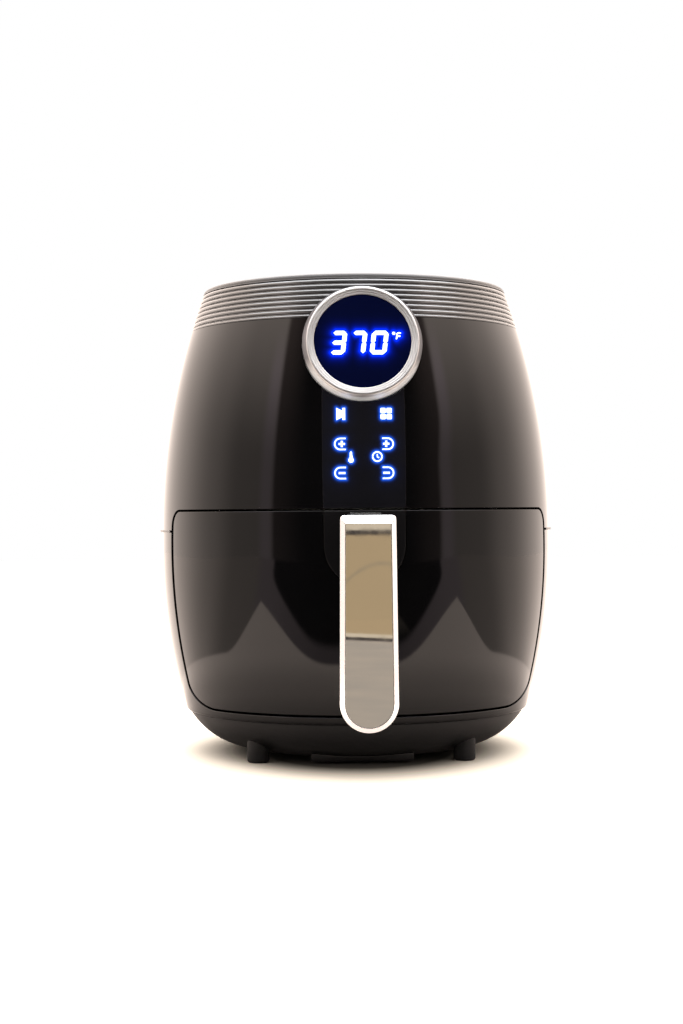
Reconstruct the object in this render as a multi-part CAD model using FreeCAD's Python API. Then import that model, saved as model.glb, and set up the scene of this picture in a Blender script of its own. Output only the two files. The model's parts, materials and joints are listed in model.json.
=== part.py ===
import FreeCAD, Part
import os
from math import cos, pi, radians, sin, sqrt

V = FreeCAD.Vector
X_AXIS = V(1, 0, 0)
Y_AXIS = V(0, 1, 0)
Z_AXIS = V(0, 0, 1)

# A drawer air fryer. Millimetres, +Z up, the floor at z = 0, the front at -Y. Every piece is drawn about the
# barrel's vertical axis, and moved by CENTRE_SHIFT when it is written, so that the box round the whole object
# is centred on the origin.

# ---- barrel: the outline that all outer shells share ----
BELLY_RADIUS = 144.0          # widest, between the two belly heights
BELLY_BELOW_SEAM = 13.0       # where the straight belly starts and ends, under the seam
BELLY_END_BELOW_SEAM = 3.0
LOWER_ARC_RADIUS = 411.0      # how the side curves in below the belly
UPPER_ARC_RADIUS = 516.0      # and above it
WALL = 3.0                    # outer shells
SNUG = 0.1                    # between pieces that sit inside one another
MOVE_GAP = 0.4                # between pieces that move past one another
EVERYWHERE = 400.0            # larger than the object
PAST = 5.0                    # how far a cutting shape reaches past the piece it cuts
NEAR = 0.01                   # lengths that differ by less count as equal

# ---- heights of the outer pieces ----
BASE_TOP_Z = 31.0             # where the base meets the lower housing
SEAM_Z = 163.0
SEAM_HEIGHT = 1.6
SEAM_STAND_OUT = 1.2
UPPER_HOUSING_HEIGHT = 146.0  # from the seam to the ribbed band
BAND_HEIGHT = 27.6
COVER_HEIGHT = 3.4
LOWER_EDGE_ROUND = 4.0        # lower housing's bottom edge
TOP_EDGE_ROUND = 2.8
COVER_SPIGOT = 4.0            # how far the top cover reaches into the band

# ---- base and feet ----
BASE_STEP = 2.2               # the base stands back from the lower housing
BASE_FLAT_STEP = 42.4         # bowl's flat, in from the housing's bottom edge
BASE_FLAT_Z = 4.5
BASE_BULGE = 5.5              # how far the bowl swells out from its chord
BASE_SPIGOT_HEIGHT = 2.4
SPIGOT_STEP = 9.4             # spigot, in from the same edge
FOOT_RADIUS = 7.8
FOOT_HEIGHT = 17.0
FOOT_STEP = 23.2              # feet, in from the same edge
FOOT_BOSS_WALL = 3.0
FOOT_BOSS_TOP = 6.0           # boss above the foot
FOOT_EDGE_ROUND = 1.2
SCREW_RADIUS = 1.6
SCREW_HEAD_RADIUS = 3.2
SCREW_HEAD_HEIGHT = 2.0
SCREW_HEAD_SINK = 3.0         # foot screw's head above the floor
PAD_HALF_WIDTH = 36.0         # the base's shallow front pad
PAD_STAND_OUT = 6.0           # pad's front, out from the bowl's flat
PAD_LENGTH = 32.0
PAD_Z = 1.8

# ---- ribbed band ----
RIB_PITCH = 3.45
RIB_DEPTH = 1.5
RIB_GROOVE = 0.7
RIB_SLOPE = 0.6               # height of a rib's sloped edge
FIRST_GROOVE = 2.8            # above the band's bottom
BAND_THICKNESS = 4.5

# ---- drawer front ----
DRAWER_ABOVE_SEAM = 14.0
DRAWER_ABOVE_BASE = 7.4
DRAWER_HALF_ANGLE = 67.0      # degrees round the barrel from the front
DRAWER_GAP = 1.6
TOP_CORNER_WIDTH = 4.7
TOP_CORNER_HEIGHT = 11.6
BOTTOM_CORNER_RADIUS = 21.0
INSERT_HALF_WIDTH = 27.4      # the U-shaped insert, of the handle's bracket
INSERT_ROUND_DEPTH = 23.0     # round end's centre, below the drawer's top
INSERT_GAP = 0.5

# ---- display ring ----
RING_TILT = 13.0              # degrees that its face leans back
RING_BELOW_BAND = 18.5        # its centre, below the ribbed band
RING_SEAT_SINK = 0.2          # its seat, behind the barrel's surface
RING_FOOT_RADIUS = 40.8
RING_CREST_RADIUS = 38.1
RING_CREST_HEIGHT = 6.0
RING_BORE_RADIUS = 33.0
RING_LIP_HEIGHT = 4.6
RING_LIP_THICKNESS = 0.8
RING_SKIRT_DEPTH = 12.0
RING_SKIRT_WALL = 4.0
RING_HOLE_GAP = 0.4
LENS_THICKNESS = 2.5
DIGITS_WIDTH = 52.0
DIGITS_HEIGHT = 26.0
DIGITS_DEPTH = 8.0
DISPLAY_BOARD_THICKNESS = 1.6

# ---- touch panel ----
PANEL_HALF_WIDTH = 27.8
PANEL_THICKNESS = 1.4
PANEL_GAP = 0.3
PANEL_SEAT = 1.5              # depth of the recess it lies in
FOIL_HALF_WIDTH = 25.0
FOIL_THICKNESS = 0.8
FOIL_ABOVE_DRAWER = 9.0
FOIL_RING_ROOM = 5.7          # from its top to the display ring

# ---- pan and basket ----
PAN_SIDE_ROOM = 48.0          # from the pan to the barrel's belly
PAN_CORNER = 43.0
PAN_WALL = 1.5
PAN_FLOOR_ROOM = 4.4          # under the pan, in the tray
PAN_FLANGE_ABOVE_SEAM = 1.0   # underside of the flange that the pan hangs by
PAN_FLANGE_THICKNESS = 1.5
PAN_EDGE_ROUND = 8.0
BASKET_CLEARANCE = 3.0        # to the pan's inside
BASKET_WALL = 1.2
BASKET_LIFT = 14.0            # basket's bottom above the pan's
BASKET_RISE = 3.4             # basket's top above the flange
BASKET_EDGE_ROUND = 8.0
HOLE_RADIUS = 3.0
HOLE_PITCH = 15.0
HOLE_FIELD_MARGIN = 15.5      # round field of holes, in from the basket's side
SLOT_WIDTH = 3.0
SLOT_HEIGHT = 26.0
SLOT_LIFT = 20.0              # slots above the basket's bottom
SLOT_PITCH = 12.0
SLOT_COUNT = 7
BASKET_PAD_RADIUS = 5.0
BASKET_PAD_INSET = 29.5       # pads, in from the basket's side

# ---- drawer bay ----
RAIL_WIDTH = 3.9              # between the pan and the tray
TRAY_WALL = 1.2
TRAY_MOUTH_SETBACK = 56.5     # tray's mouth, behind where its front would be
DECK_THICKNESS = 3.0          # base deck, under the tray
FRAME_THICKNESS = 3.0
RAIL_HEIGHT = 6.6
RAIL_END_ROOM = 3.0           # from its back end to the tray's rounded corner

# ---- cooking chamber ----
CHAMBER_ABOVE_DRAWER = 2.0
MOTOR_ROOM = 55.0             # from the chamber's top to the ribbed band
CHAMBER_WALL = 1.0
CHAMBER_FLANGE_WIDTH = 8.0
CHAMBER_FLANGE_THICKNESS = 1.2
UPPER_DECK_THICKNESS = 2.0

# ---- heating element ----
COIL_DROP = 28.0              # coil below the chamber's top
COIL_TUBE_RADIUS = 3.2
COIL_SIDE_ROOM = 13.5         # coil's outer ring, in from the chamber's side
COIL_SPACING = 18.0           # between its two rings
COIL_GAP_ANGLE = 12.0         # half the gap where the coil's ends are
COIL_LEG_RISE = 14.0          # its ends above the chamber
CLIP_THICKNESS = 1.2
CLIP_MARGIN = 2.5
CLIP_COUNT = 3

# ---- fans and motor ----
FAN_COIL_ROOM = 10.0          # from the fan to the coil's inner ring
FAN_PLATE_DROP = 7.0          # below the chamber's top
FAN_PLATE_THICKNESS = 1.0
FAN_BLADE_HEIGHT = 11.0
FAN_BLADE_THICKNESS = 1.0
FAN_BLADE_COUNT = 8
FAN_HUB_RADIUS = 8.0
FAN_HUB_RISE = 2.0            # hub above the plate
FAN_BLADE_START = 16.0
SHAFT_RADIUS = 3.0
SHAFT_TAIL = 13.0             # shaft below the fan's plate
SHAFT_TIP = 4.0               # shaft above the nut
SHAFT_HOLE_RADIUS = 9.0
SHIELD_MARGIN = 4.0           # shield's side, out from the coil
SHIELD_CORNER = 40.0
SHIELD_LIFT = 4.0             # above the chamber
SHIELD_THICKNESS = 1.0
POST_COLLAR_RADIUS = 5.5
POST_RADIUS = 4.0
POST_TIP_RADIUS = 3.0
POST_OFFSET_X = 34.0
POST_OFFSET_Y = 30.0
BRACKET_LIFT = 10.0           # lower bracket above the shield
UPPER_BRACKET_LIFT = 7.0      # upper bracket above the stator
BRACKET_THICKNESS = 1.5
BRACKET_MARGIN = 7.0
BEARING_RADIUS = 7.0
BEARING_HEIGHT = 6.0
BEARING_FIT = 0.05
STATOR_HALF_X = 39.0
STATOR_HALF_Y = 35.0
STATOR_LIFT = 8.5             # above the lower bracket
STATOR_HEIGHT = 16.5
ROTOR_RADIUS = 15.0
ROTOR_AIR_GAP = 0.5
CORE_HALF_WIDTH = 6.0         # the stator's leg inside its coil
CORE_MARGIN = 3.0
WINDING_LENGTH = 13.0
WINDING_THICKNESS = 6.0
COOLING_FAN_STEP = 4.0        # cooling fan's radius, under the hot air fan's
COOLING_FAN_LIFT = 8.0        # above the upper bracket
COOLING_FAN_HEIGHT = 11.0
COOLING_HUB_RADIUS = 12.0
COOLING_BLADE_COUNT = 7
COOLING_BLADE_THICKNESS = 1.2
COOLING_BLADE_PITCH = 35.0    # degrees
NUT_WIDTH = 8.0
NUT_HEIGHT = 4.0
NUT_SIDES = 6

# ---- exhaust ----
VENT_HALF_WIDTH = 44.0
VENT_LIFT = 17.0              # hood's bottom above the chamber's
VENT_DROP = 10.0              # hood's top below the chamber's
VENT_CORNER = 8.0
VENT_STAND_OUT = 6.0
VENT_WALL = 2.4
VENT_SLOT_HEIGHT = 4.0
VENT_SLOT_COUNT = 5
VENT_SLOT_HALF_WIDTH = 34.0
DUCT_WALL = 1.2
DUCT_MARGIN = 3.0             # duct stands in from the hood's inside

# ---- power side ----
GLAND_ABOVE_DECK = 27.6
GLAND_RADIUS = 6.3
GLAND_COLLAR_RADIUS = 9.5
GLAND_COLLAR_THICKNESS = 2.5
GLAND_TAIL = 13.0
GLAND_TAIL_RADIUS = 4.6
GLAND_INNER = 9.0
CORD_BORE_RADIUS = 3.6
BOARD_HALF_WIDTH = 46.0
BOARD_ABOVE_DECK = 41.6
BOARD_HEIGHT = 80.0
BOARD_THICKNESS = 1.6
STANDOFF_HEIGHT = 5.0
STANDOFF_RADIUS = 3.0
STANDOFF_INSET = 6.0
RELAY_WIDTH = 20.0
RELAY_HEIGHT = 18.0
RELAY_DEPTH = 15.0
RELAY_X = 10.0                # places on the board, from its lower left corner
RELAY_Z = 50.0
TRANSFORMER_WIDTH = 30.0
TRANSFORMER_HEIGHT = 26.0
TRANSFORMER_DEPTH = 14.0
TRANSFORMER_X = 48.0
TRANSFORMER_Z = 38.0
LARGE_CAN_RADIUS = 7.0        # capacitors
LARGE_CAN_DEPTH = 14.0
LARGE_CAN_X = 26.0
LARGE_CAN_Z = 18.0
SMALL_CAN_RADIUS = 5.0
SMALL_CAN_DEPTH = 13.0
SMALL_CAN_X = 60.0
SMALL_CAN_Z = 16.0
SENSOR_RADIUS = 2.5
SENSOR_HEAD_RADIUS = 5.0
SENSOR_LENGTH = 26.0
SENSOR_DROP = 14.0            # below the chamber's top
SENSOR_Y = 30.0
FUSE_RADIUS = 4.0
FUSE_LENGTH = 22.0
FUSE_INSET = 34.0             # in from two sides of the shield

# ---- drawer switch ----
SWITCH_SIDE_GAP = 12.5        # switch's middle, out from the tray
SWITCH_BELOW_SEAM = 23.0
SWITCH_WIDTH = 12.0
SWITCH_HEIGHT = 18.0
SWITCH_DEPTH = 14.0
SWITCH_BORE_DEPTH = 9.4
PLUNGER_RADIUS = 2.0
PLUNGER_FIT = 0.1
PLUNGER_STAND_OUT = 3.0
PLUNGER_TRAVEL = 0.8
TONGUE_HALF_WIDTH = 3.5
TONGUE_HALF_HEIGHT = 6.0

# ---- inner drawer panel ----
INNER_PANEL_THICKNESS = 2.4
INNER_PANEL_EDGE = 1.0        # its top under the flange, its bottom above the pan's
INNER_RIM_WALL = 2.0
RIVET_RADIUS = 2.0
RIVET_HEAD_RADIUS = 4.0
RIVET_HEAD_HEIGHT = 1.2
PAN_RIVET_X = 30.0
PAN_RIVET_LIFT = 28.0         # lower rivets above the pan's bottom
PAN_RIVET_DROP = 29.0         # upper rivets under the flange
BASKET_RIVET_X = 12.0
BASKET_RIVET_DROP = 14.2      # under the bracket's strip

# ---- handle ----
HANDLE_STAND_OUT = 46.5       # front of the chrome, out from the belly
HANDLE_DROP = 3.0             # its top below the drawer's
HANDLE_TOP_HALF_WIDTH = 18.0
HANDLE_BOTTOM_HALF_WIDTH = 19.0
HANDLE_LENGTH = 140.0
HANDLE_BAR_DEPTH = 12.0
RIM_THICKNESS = 3.0           # chrome rim in front of the bar
RIM_WIDTH = 3.4
RIM_CORNER = 3.0
RIM_INNER_CORNER = 0.5
PLATE_SINK = 0.8              # mirror plate's face behind the rim's
ARM_HALF_WIDTH = 15.0
ARM_HEIGHT = 28.0
BUTTON_HALF_WIDTH = 5.5
BUTTON_HALF_LENGTH = 5.0
BUTTON_STAND_OUT = 9.0        # button's middle, out from the belly
BUTTON_SINK = 0.6
BUTTON_TRAVEL = 2.5
BUTTON_THICKNESS = 3.0
BUTTON_CORNER = 1.5
BUTTON_WELL_DEPTH = 12.0
SPRING_RADIUS = 3.6
SPRING_WIRE_RADIUS = 0.4
SPRING_TURNS = 4
SPRING_SEAT = 0.3
BUTTON_STEM_RADIUS = 2.5
GUARD_HALF_WIDTH = 10.0
GUARD_LENGTH = 16.0
GUARD_THICKNESS = 1.4
GUARD_CORNER = 1.0
GUARD_TRAVEL = 13.0
GUARD_LEG = 3.0               # depth of its runners in the handle's grooves
GUARD_LEG_WIDTH = 1.6
GUARD_GAP = 0.3
HANDLE_SCREW_X = 10.5
HANDLE_SCREW_DROP = 16.0      # below the handle's top
HANDLE_SCREW_REACH = 30.0     # of its shank, in front of the bracket

# ---- bracket and latch ----
BRACKET_PLATE = 1.6
BRACKET_HALF_WIDTH = 20.0
BRACKET_STRIP_LIFT = 0.8      # strip above the basket's top
BRACKET_FRONT_HEIGHT = 36.2   # front leg below the strip
BRACKET_BACK_HEIGHT = 22.2    # back leg below the strip
INSERT_DEPTH = 5.5            # from its front to its flat back, at the belly
EAR_THICKNESS = 1.5
EAR_HALF_GAP = 3.6
EAR_RADIUS = 5.0
PIVOT_SETBACK = 36.0          # pin behind the belly
PIVOT_DROP = 20.0             # pin below the handle's top
PIN_RADIUS = 1.5
PIN_FIT = 0.05
PIN_END = 0.5                 # stands out of the ears
LEVER_HALF_WIDTH = 3.0
LEVER_THICKNESS = 4.0
LEVER_TIP_REACH = 3.0         # past the button's middle
LEVER_ROOM = 1.0              # above and below it, in its window
LEVER_END_ROOM = 3.0
HOOK_DROP = 42.0              # hook's bottom below the pin
HOOK_REACH = 7.6              # from the pivot forward to the hook's tip
HOOK_HEIGHT = 5.0
CATCH_THICKNESS = 4.0
CATCH_HALF_WIDTH = 8.0
CATCH_OVERLAP = 1.8


# ---------------------------------------------------------------- what follows from the sizes

BELLY_LOW_Z = SEAM_Z - BELLY_BELOW_SEAM
BELLY_HIGH_Z = SEAM_Z - BELLY_END_BELOW_SEAM


def barrel_radius(z):
    """The barrel's outer radius at a height."""
    if z > BELLY_HIGH_Z:
        rise, arc = z - BELLY_HIGH_Z, UPPER_ARC_RADIUS
    else:
        rise, arc = max(BELLY_LOW_Z - z, 0.0), LOWER_ARC_RADIUS
    return BELLY_RADIUS - arc + sqrt(arc ** 2 - rise ** 2)


HOUSING_SPLIT_LOW = SEAM_Z - SEAM_HEIGHT / 2
HOUSING_SPLIT_HIGH = SEAM_Z + SEAM_HEIGHT / 2
BAND_BOTTOM_Z = SEAM_Z + UPPER_HOUSING_HEIGHT
BAND_TOP_Z = BAND_BOTTOM_Z + BAND_HEIGHT
TOP_Z = BAND_TOP_Z + COVER_HEIGHT
RIB_COUNT = 1 + int((BAND_HEIGHT - FIRST_GROOVE - RIB_GROOVE / 2) / RIB_PITCH)

BOTTOM_EDGE_RADIUS = barrel_radius(BASE_TOP_Z)
BASE_FLAT_RADIUS = BOTTOM_EDGE_RADIUS - BASE_FLAT_STEP
SPIGOT_RADIUS = BOTTOM_EDGE_RADIUS - SPIGOT_STEP
SPIGOT_TOP_Z = BASE_TOP_Z + BASE_SPIGOT_HEIGHT
FOOT_OFFSET = (BOTTOM_EDGE_RADIUS - FOOT_STEP) / sqrt(2)
FOOT_BOSS_TOP_Z = FOOT_HEIGHT + FOOT_BOSS_TOP
PAD_FRONT_Y = -BASE_FLAT_RADIUS - PAD_STAND_OUT
DECK_TOP_Z = SPIGOT_TOP_Z + DECK_THICKNESS

DRAWER_TOP_Z = SEAM_Z + DRAWER_ABOVE_SEAM
DRAWER_BOTTOM_Z = BASE_TOP_Z + DRAWER_ABOVE_BASE
INSERT_CENTRE_Z = DRAWER_TOP_Z - INSERT_ROUND_DEPTH
INSERT_BACK_Y = -(BELLY_RADIUS - INSERT_DEPTH)

RING_CENTRE_Z = BAND_BOTTOM_Z - RING_BELOW_BAND
RING_FRONT = barrel_radius(RING_CENTRE_Z) - RING_SEAT_SINK
LENS_FRONT = RING_LIP_HEIGHT - RING_LIP_THICKNESS
LENS_BACK = LENS_FRONT - LENS_THICKNESS
DISPLAY_BOARD_BACK = LENS_BACK - DIGITS_DEPTH - DISPLAY_BOARD_THICKNESS
SKIRT_BORE_RADIUS = RING_FOOT_RADIUS - RING_SKIRT_WALL
FOIL_BOTTOM_Z = DRAWER_TOP_Z + FOIL_ABOVE_DRAWER
FOIL_TOP_Z = RING_CENTRE_Z - RING_FOOT_RADIUS - FOIL_RING_ROOM

PAN_HALF = BELLY_RADIUS - PAN_SIDE_ROOM
PAN_BOTTOM_Z = DECK_TOP_Z + TRAY_WALL + PAN_FLOOR_ROOM
PAN_FLANGE_Z = SEAM_Z + PAN_FLANGE_ABOVE_SEAM
PAN_FLANGE_WIDTH = RAIL_WIDTH - MOVE_GAP
BASKET_HALF = PAN_HALF - PAN_WALL - BASKET_CLEARANCE
BASKET_CORNER = PAN_CORNER - PAN_WALL - BASKET_CLEARANCE
BASKET_BOTTOM_Z = PAN_BOTTOM_Z + BASKET_LIFT
BASKET_TOP_Z = PAN_FLANGE_Z + BASKET_RISE
BASKET_PAD_OFFSET = BASKET_HALF - BASKET_PAD_INSET
HOLE_FIELD_RADIUS = BASKET_HALF - HOLE_FIELD_MARGIN
HOLES_EACH_WAY = int(HOLE_FIELD_RADIUS / HOLE_PITCH)
SLOT_BOTTOM_Z = BASKET_BOTTOM_Z + SLOT_LIFT

TRAY_HALF = PAN_HALF + MOVE_GAP + RAIL_WIDTH + TRAY_WALL
TRAY_CORNER = PAN_CORNER + TRAY_HALF - PAN_HALF
TRAY_FRONT_Y = -(TRAY_HALF - TRAY_MOUTH_SETBACK)
RAIL_BACK_Y = TRAY_HALF - TRAY_CORNER - RAIL_END_ROOM
RAIL_TOP_Z = PAN_FLANGE_Z - MOVE_GAP

CHAMBER_BOTTOM_Z = DRAWER_TOP_Z + CHAMBER_ABOVE_DRAWER
CHAMBER_TOP_Z = BAND_BOTTOM_Z - MOTOR_ROOM
UPPER_DECK_Z = CHAMBER_BOTTOM_Z + CHAMBER_FLANGE_THICKNESS
COIL_Z = CHAMBER_TOP_Z - COIL_DROP
COIL_OUTER_RADIUS = TRAY_HALF - COIL_SIDE_ROOM
COIL_INNER_RADIUS = COIL_OUTER_RADIUS - COIL_SPACING
COIL_LEG_TOP_Z = CHAMBER_TOP_Z + COIL_LEG_RISE

FAN_RADIUS = COIL_INNER_RADIUS - FAN_COIL_ROOM
FAN_PLATE_Z = CHAMBER_TOP_Z - FAN_PLATE_DROP
SHIELD_HALF = COIL_OUTER_RADIUS + SHIELD_MARGIN
SHIELD_Z = CHAMBER_TOP_Z + SHIELD_LIFT
LOWER_BRACKET_Z = SHIELD_Z + BRACKET_LIFT
STATOR_BOTTOM_Z = LOWER_BRACKET_Z + STATOR_LIFT
STATOR_TOP_Z = STATOR_BOTTOM_Z + STATOR_HEIGHT
UPPER_BRACKET_Z = STATOR_TOP_Z + UPPER_BRACKET_LIFT
COOLING_FAN_RADIUS = FAN_RADIUS - COOLING_FAN_STEP
COOLING_FAN_Z = UPPER_BRACKET_Z + COOLING_FAN_LIFT
SHAFT_BOTTOM_Z = FAN_PLATE_Z - SHAFT_TAIL
SHAFT_TOP_Z = COOLING_FAN_Z + COOLING_FAN_HEIGHT + NUT_HEIGHT + SHAFT_TIP

VENT_BOTTOM_Z = CHAMBER_BOTTOM_Z + VENT_LIFT
VENT_TOP_Z = CHAMBER_TOP_Z - VENT_DROP
GLAND_Z = DECK_TOP_Z + GLAND_ABOVE_DECK
BOARD_BOTTOM_Z = DECK_TOP_Z + BOARD_ABOVE_DECK
BOARD_TOP_Z = BOARD_BOTTOM_Z + BOARD_HEIGHT
SENSOR_Z = CHAMBER_TOP_Z - SENSOR_DROP
SWITCH_X = TRAY_HALF + SWITCH_SIDE_GAP
SWITCH_Z = SEAM_Z - SWITCH_BELOW_SEAM

HANDLE_TOP_Z = DRAWER_TOP_Z - HANDLE_DROP
HANDLE_BOTTOM_Z = HANDLE_TOP_Z - HANDLE_LENGTH
HANDLE_FRONT = BELLY_RADIUS + HANDLE_STAND_OUT
BAR_FRONT_Y = -(HANDLE_FRONT - RIM_THICKNESS)
BAR_BACK_Y = BAR_FRONT_Y + HANDLE_BAR_DEPTH
ARM_BOTTOM_Z = HANDLE_TOP_Z - ARM_HEIGHT
BUTTON_Y = -(BELLY_RADIUS + BUTTON_STAND_OUT)
HANDLE_SCREW_Z = HANDLE_TOP_Z - HANDLE_SCREW_DROP
HANDLE_SCREW_TIP_Y = INSERT_BACK_Y - HANDLE_SCREW_REACH

BRACKET_STRIP_Z = BASKET_TOP_Z + BRACKET_STRIP_LIFT
BRACKET_BACK_Y = -BASKET_HALF + BASKET_WALL + BRACKET_PLATE
PIVOT_Y = -(BELLY_RADIUS - PIVOT_SETBACK)
PIVOT_Z = HANDLE_TOP_Z - PIVOT_DROP
LEVER_TIP_Y = BUTTON_Y - LEVER_TIP_REACH
HOOK_BOTTOM_Z = PIVOT_Z - HOOK_DROP
HOOK_TIP_Y = PIVOT_Y - HOOK_REACH

INNER_PANEL_BACK_Y = -PAN_HALF - SNUG
INNER_PANEL_TOP_Z = PAN_FLANGE_Z - INNER_PANEL_EDGE
INNER_PANEL_BOTTOM_Z = PAN_BOTTOM_Z + INNER_PANEL_EDGE


# ---------------------------------------------------------------- shapes used by many pieces

def block(x_low, x_high, y_low, y_high, z_low, z_high):
    return Part.makeBox(x_high - x_low, y_high - y_low, z_high - z_low, V(x_low, y_low, z_low))


def cylinder(radius, z_low, z_high, x=0.0, y=0.0):
    return Part.makeCylinder(radius, z_high - z_low, V(x, y, z_low), Z_AXIS)


def cylinder_x(radius, x_low, x_high, y, z):
    return Part.makeCylinder(radius, x_high - x_low, V(x_low, y, z), X_AXIS)


def cylinder_y(radius, y_low, y_high, x, z):
    return Part.makeCylinder(radius, y_high - y_low, V(x, y_low, z), Y_AXIS)


def turned(edges):
    """A solid turned about the Z axis from its half outline in the XZ plane."""
    return Part.Face(Part.Wire(edges)).revolve(V(), Z_AXIS, 360)


def turned_points(points):
    """The same from corners (radius, height)."""
    corners = [V(radius, 0, z) for radius, z in points]
    return turned([Part.makePolygon(corners + corners[:1])])


def edges_along(shape, axis):
    """The straight edges of a shape that run along an axis."""
    found = []
    for edge in shape.Edges:
        ends = [vertex.Point for vertex in edge.Vertexes]
        if len(ends) == 2 and abs((ends[1] - ends[0]).normalize().dot(axis)) > 1 - NEAR:
            found.append(edge)
    return found


def edges_at_height(shape, z):
    """The edges of a shape that lie in one level plane."""
    return [edge for edge in shape.Edges if abs(edge.BoundBox.ZMin - z) + abs(edge.BoundBox.ZMax - z) < NEAR]


def rounded_block(half_x, half_y, corner, z_low, z_high):
    """An upright block about the Z axis with rounded upright edges."""
    body = block(-half_x, half_x, -half_y, half_y, z_low, z_high)
    return body.makeFillet(corner, edges_along(body, Z_AXIS))


def slab_y(half_width, corner, y_low, y_high, z_low, z_high):
    """A block drawn along Y whose four long edges are rounded."""
    body = block(-half_width, half_width, y_low, y_high, z_low, z_high)
    return body.makeFillet(corner, edges_along(body, Y_AXIS))


def fused(pieces):
    return pieces[0].multiFuse(pieces[1:]).removeSplitter()


def mirrored_pair(piece):
    """A piece and its copy on the other side of the YZ plane."""
    return [piece, piece.mirror(V(), X_AXIS)]


def turned_copies(piece, count, start=0.0, step=None):
    """Copies of a piece round the Z axis."""
    copies = []
    for i in range(count):
        copy = piece.copy()
        copy.rotate(V(), Z_AXIS, start + i * (step or 360.0 / count))
        copies.append(copy)
    return copies


# ---------------------------------------------------------------- the barrel's outline

def side_point(z, inset):
    return V(barrel_radius(z) - inset, 0, z)


def side_edges(z_low, z_high, inset):
    """The barrel's side between two heights: an arc below the belly, a straight belly and an arc above it."""
    stops = [z_low] + [z for z in (BELLY_LOW_Z, BELLY_HIGH_Z) if z_low < z < z_high] + [z_high]
    edges = []
    for low, high in zip(stops, stops[1:]):
        start, middle, end = [side_point(z, inset) for z in (low, (low + high) / 2, high)]
        if low >= BELLY_LOW_Z and high <= BELLY_HIGH_Z:
            edges.append(Part.makeLine(start, end))
        else:
            edges.append(Part.Arc(start, middle, end).toShape())
    return edges


def barrel(z_low, z_high, inset=0.0):
    """The solid barrel between two heights, its side moved in by inset."""
    bottom, top = V(0, 0, z_low), V(0, 0, z_high)
    side = side_edges(z_low, z_high, inset)
    outline = [Part.makeLine(bottom, side_point(z_low, inset))] + side
    outline += [Part.makeLine(side_point(z_high, inset), top), Part.makeLine(top, bottom)]
    return turned(outline)


def barrel_shell(z_low, z_high, thickness, inset=0.0):
    return barrel(z_low, z_high, inset).cut(barrel(z_low - 1, z_high + 1, inset + thickness))


# ---------------------------------------------------------------- outlines seen from the front

def drawer_prism(grow):
    """The drawer front's outline, grown all round and drawn along Y through the barrel's front."""
    y = -EVERYWHERE
    reach = sin(radians(DRAWER_HALF_ANGLE))
    low, corner_z, top = DRAWER_BOTTOM_Z - grow, DRAWER_TOP_Z - TOP_CORNER_HEIGHT, DRAWER_TOP_Z + grow
    corner_x = barrel_radius(corner_z) * reach - TOP_CORNER_WIDTH
    low_x = barrel_radius(low) * reach + grow
    edges = [Part.makeLine(V(-low_x, y, low), V(low_x, y, low)),
             Part.makeLine(V(-corner_x, y, top), V(corner_x, y, top))]
    for side in (-1, 1):
        centre = V(side * corner_x, y, corner_z)
        over, out = V(side * corner_x, y, top), V(side * (corner_x + TOP_CORNER_WIDTH + grow), y, corner_z)
        corner = Part.ArcOfEllipse(Part.Ellipse(over, out, centre), 0, pi / 2)
        middle_z = (low + corner_z) / 2
        middle = V(side * (barrel_radius(middle_z) * reach + grow), y, middle_z)
        flank = Part.BSplineCurve()
        flank.interpolate([V(side * low_x, y, low), middle, out])
        edges += [corner.toShape(), flank.toShape()]
    prism = Part.Face(Part.Wire(Part.sortEdges(edges)[0])).extrude(V(0, EVERYWHERE - PAST, 0))
    low_corners = [edge for edge in edges_along(prism, Y_AXIS) if edge.BoundBox.ZMax < low + NEAR]
    return prism.makeFillet(BOTTOM_CORNER_RADIUS + grow, low_corners)


def insert_prism(grow, top_z):
    """The U-shaped insert's outline, grown and drawn along Y."""
    half = INSERT_HALF_WIDTH + grow
    upper = block(-half, half, -EVERYWHERE, 0, INSERT_CENTRE_Z, top_z)
    return fused([upper, cylinder_y(half, -EVERYWHERE, 0, 0, INSERT_CENTRE_Z)])


def handle_slab(shrink, y_low, y_high):
    """The handle's outline, moved in by shrink: slightly wider at its round foot than at its top."""
    top_x, foot_x = HANDLE_TOP_HALF_WIDTH - shrink, HANDLE_BOTTOM_HALF_WIDTH - shrink
    top_z, foot_z = HANDLE_TOP_Z - shrink, HANDLE_BOTTOM_Z + HANDLE_BOTTOM_HALF_WIDTH
    left, right = V(-foot_x, y_low, foot_z), V(foot_x, y_low, foot_z)
    foot = Part.Arc(left, V(0, y_low, HANDLE_BOTTOM_Z + shrink), right).toShape()
    upper = Part.makePolygon([right, V(top_x, y_low, top_z), V(-top_x, y_low, top_z), left])
    slab = Part.Face(Part.Wire([foot] + upper.Edges)).extrude(V(0, y_high - y_low, 0))
    top_edges = [edge for edge in edges_along(slab, Y_AXIS) if edge.BoundBox.ZMin > top_z - NEAR]
    return slab.makeFillet(max(RIM_CORNER - shrink, RIM_INNER_CORNER), top_edges)


def on_ring_seat(shape):
    """Moves a shape drawn along Z to the display ring's place, where Z points out of the display."""
    turn = FreeCAD.Rotation(X_AXIS, 90 - RING_TILT)
    return shape.transformed(FreeCAD.Placement(V(0, -RING_FRONT, RING_CENTRE_Z), turn).toMatrix())


def ring_hole():
    return on_ring_seat(cylinder(RING_FOOT_RADIUS + RING_HOLE_GAP, -RING_FOOT_RADIUS, RING_FOOT_RADIUS))


# ---------------------------------------------------------------- outer shells

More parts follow.
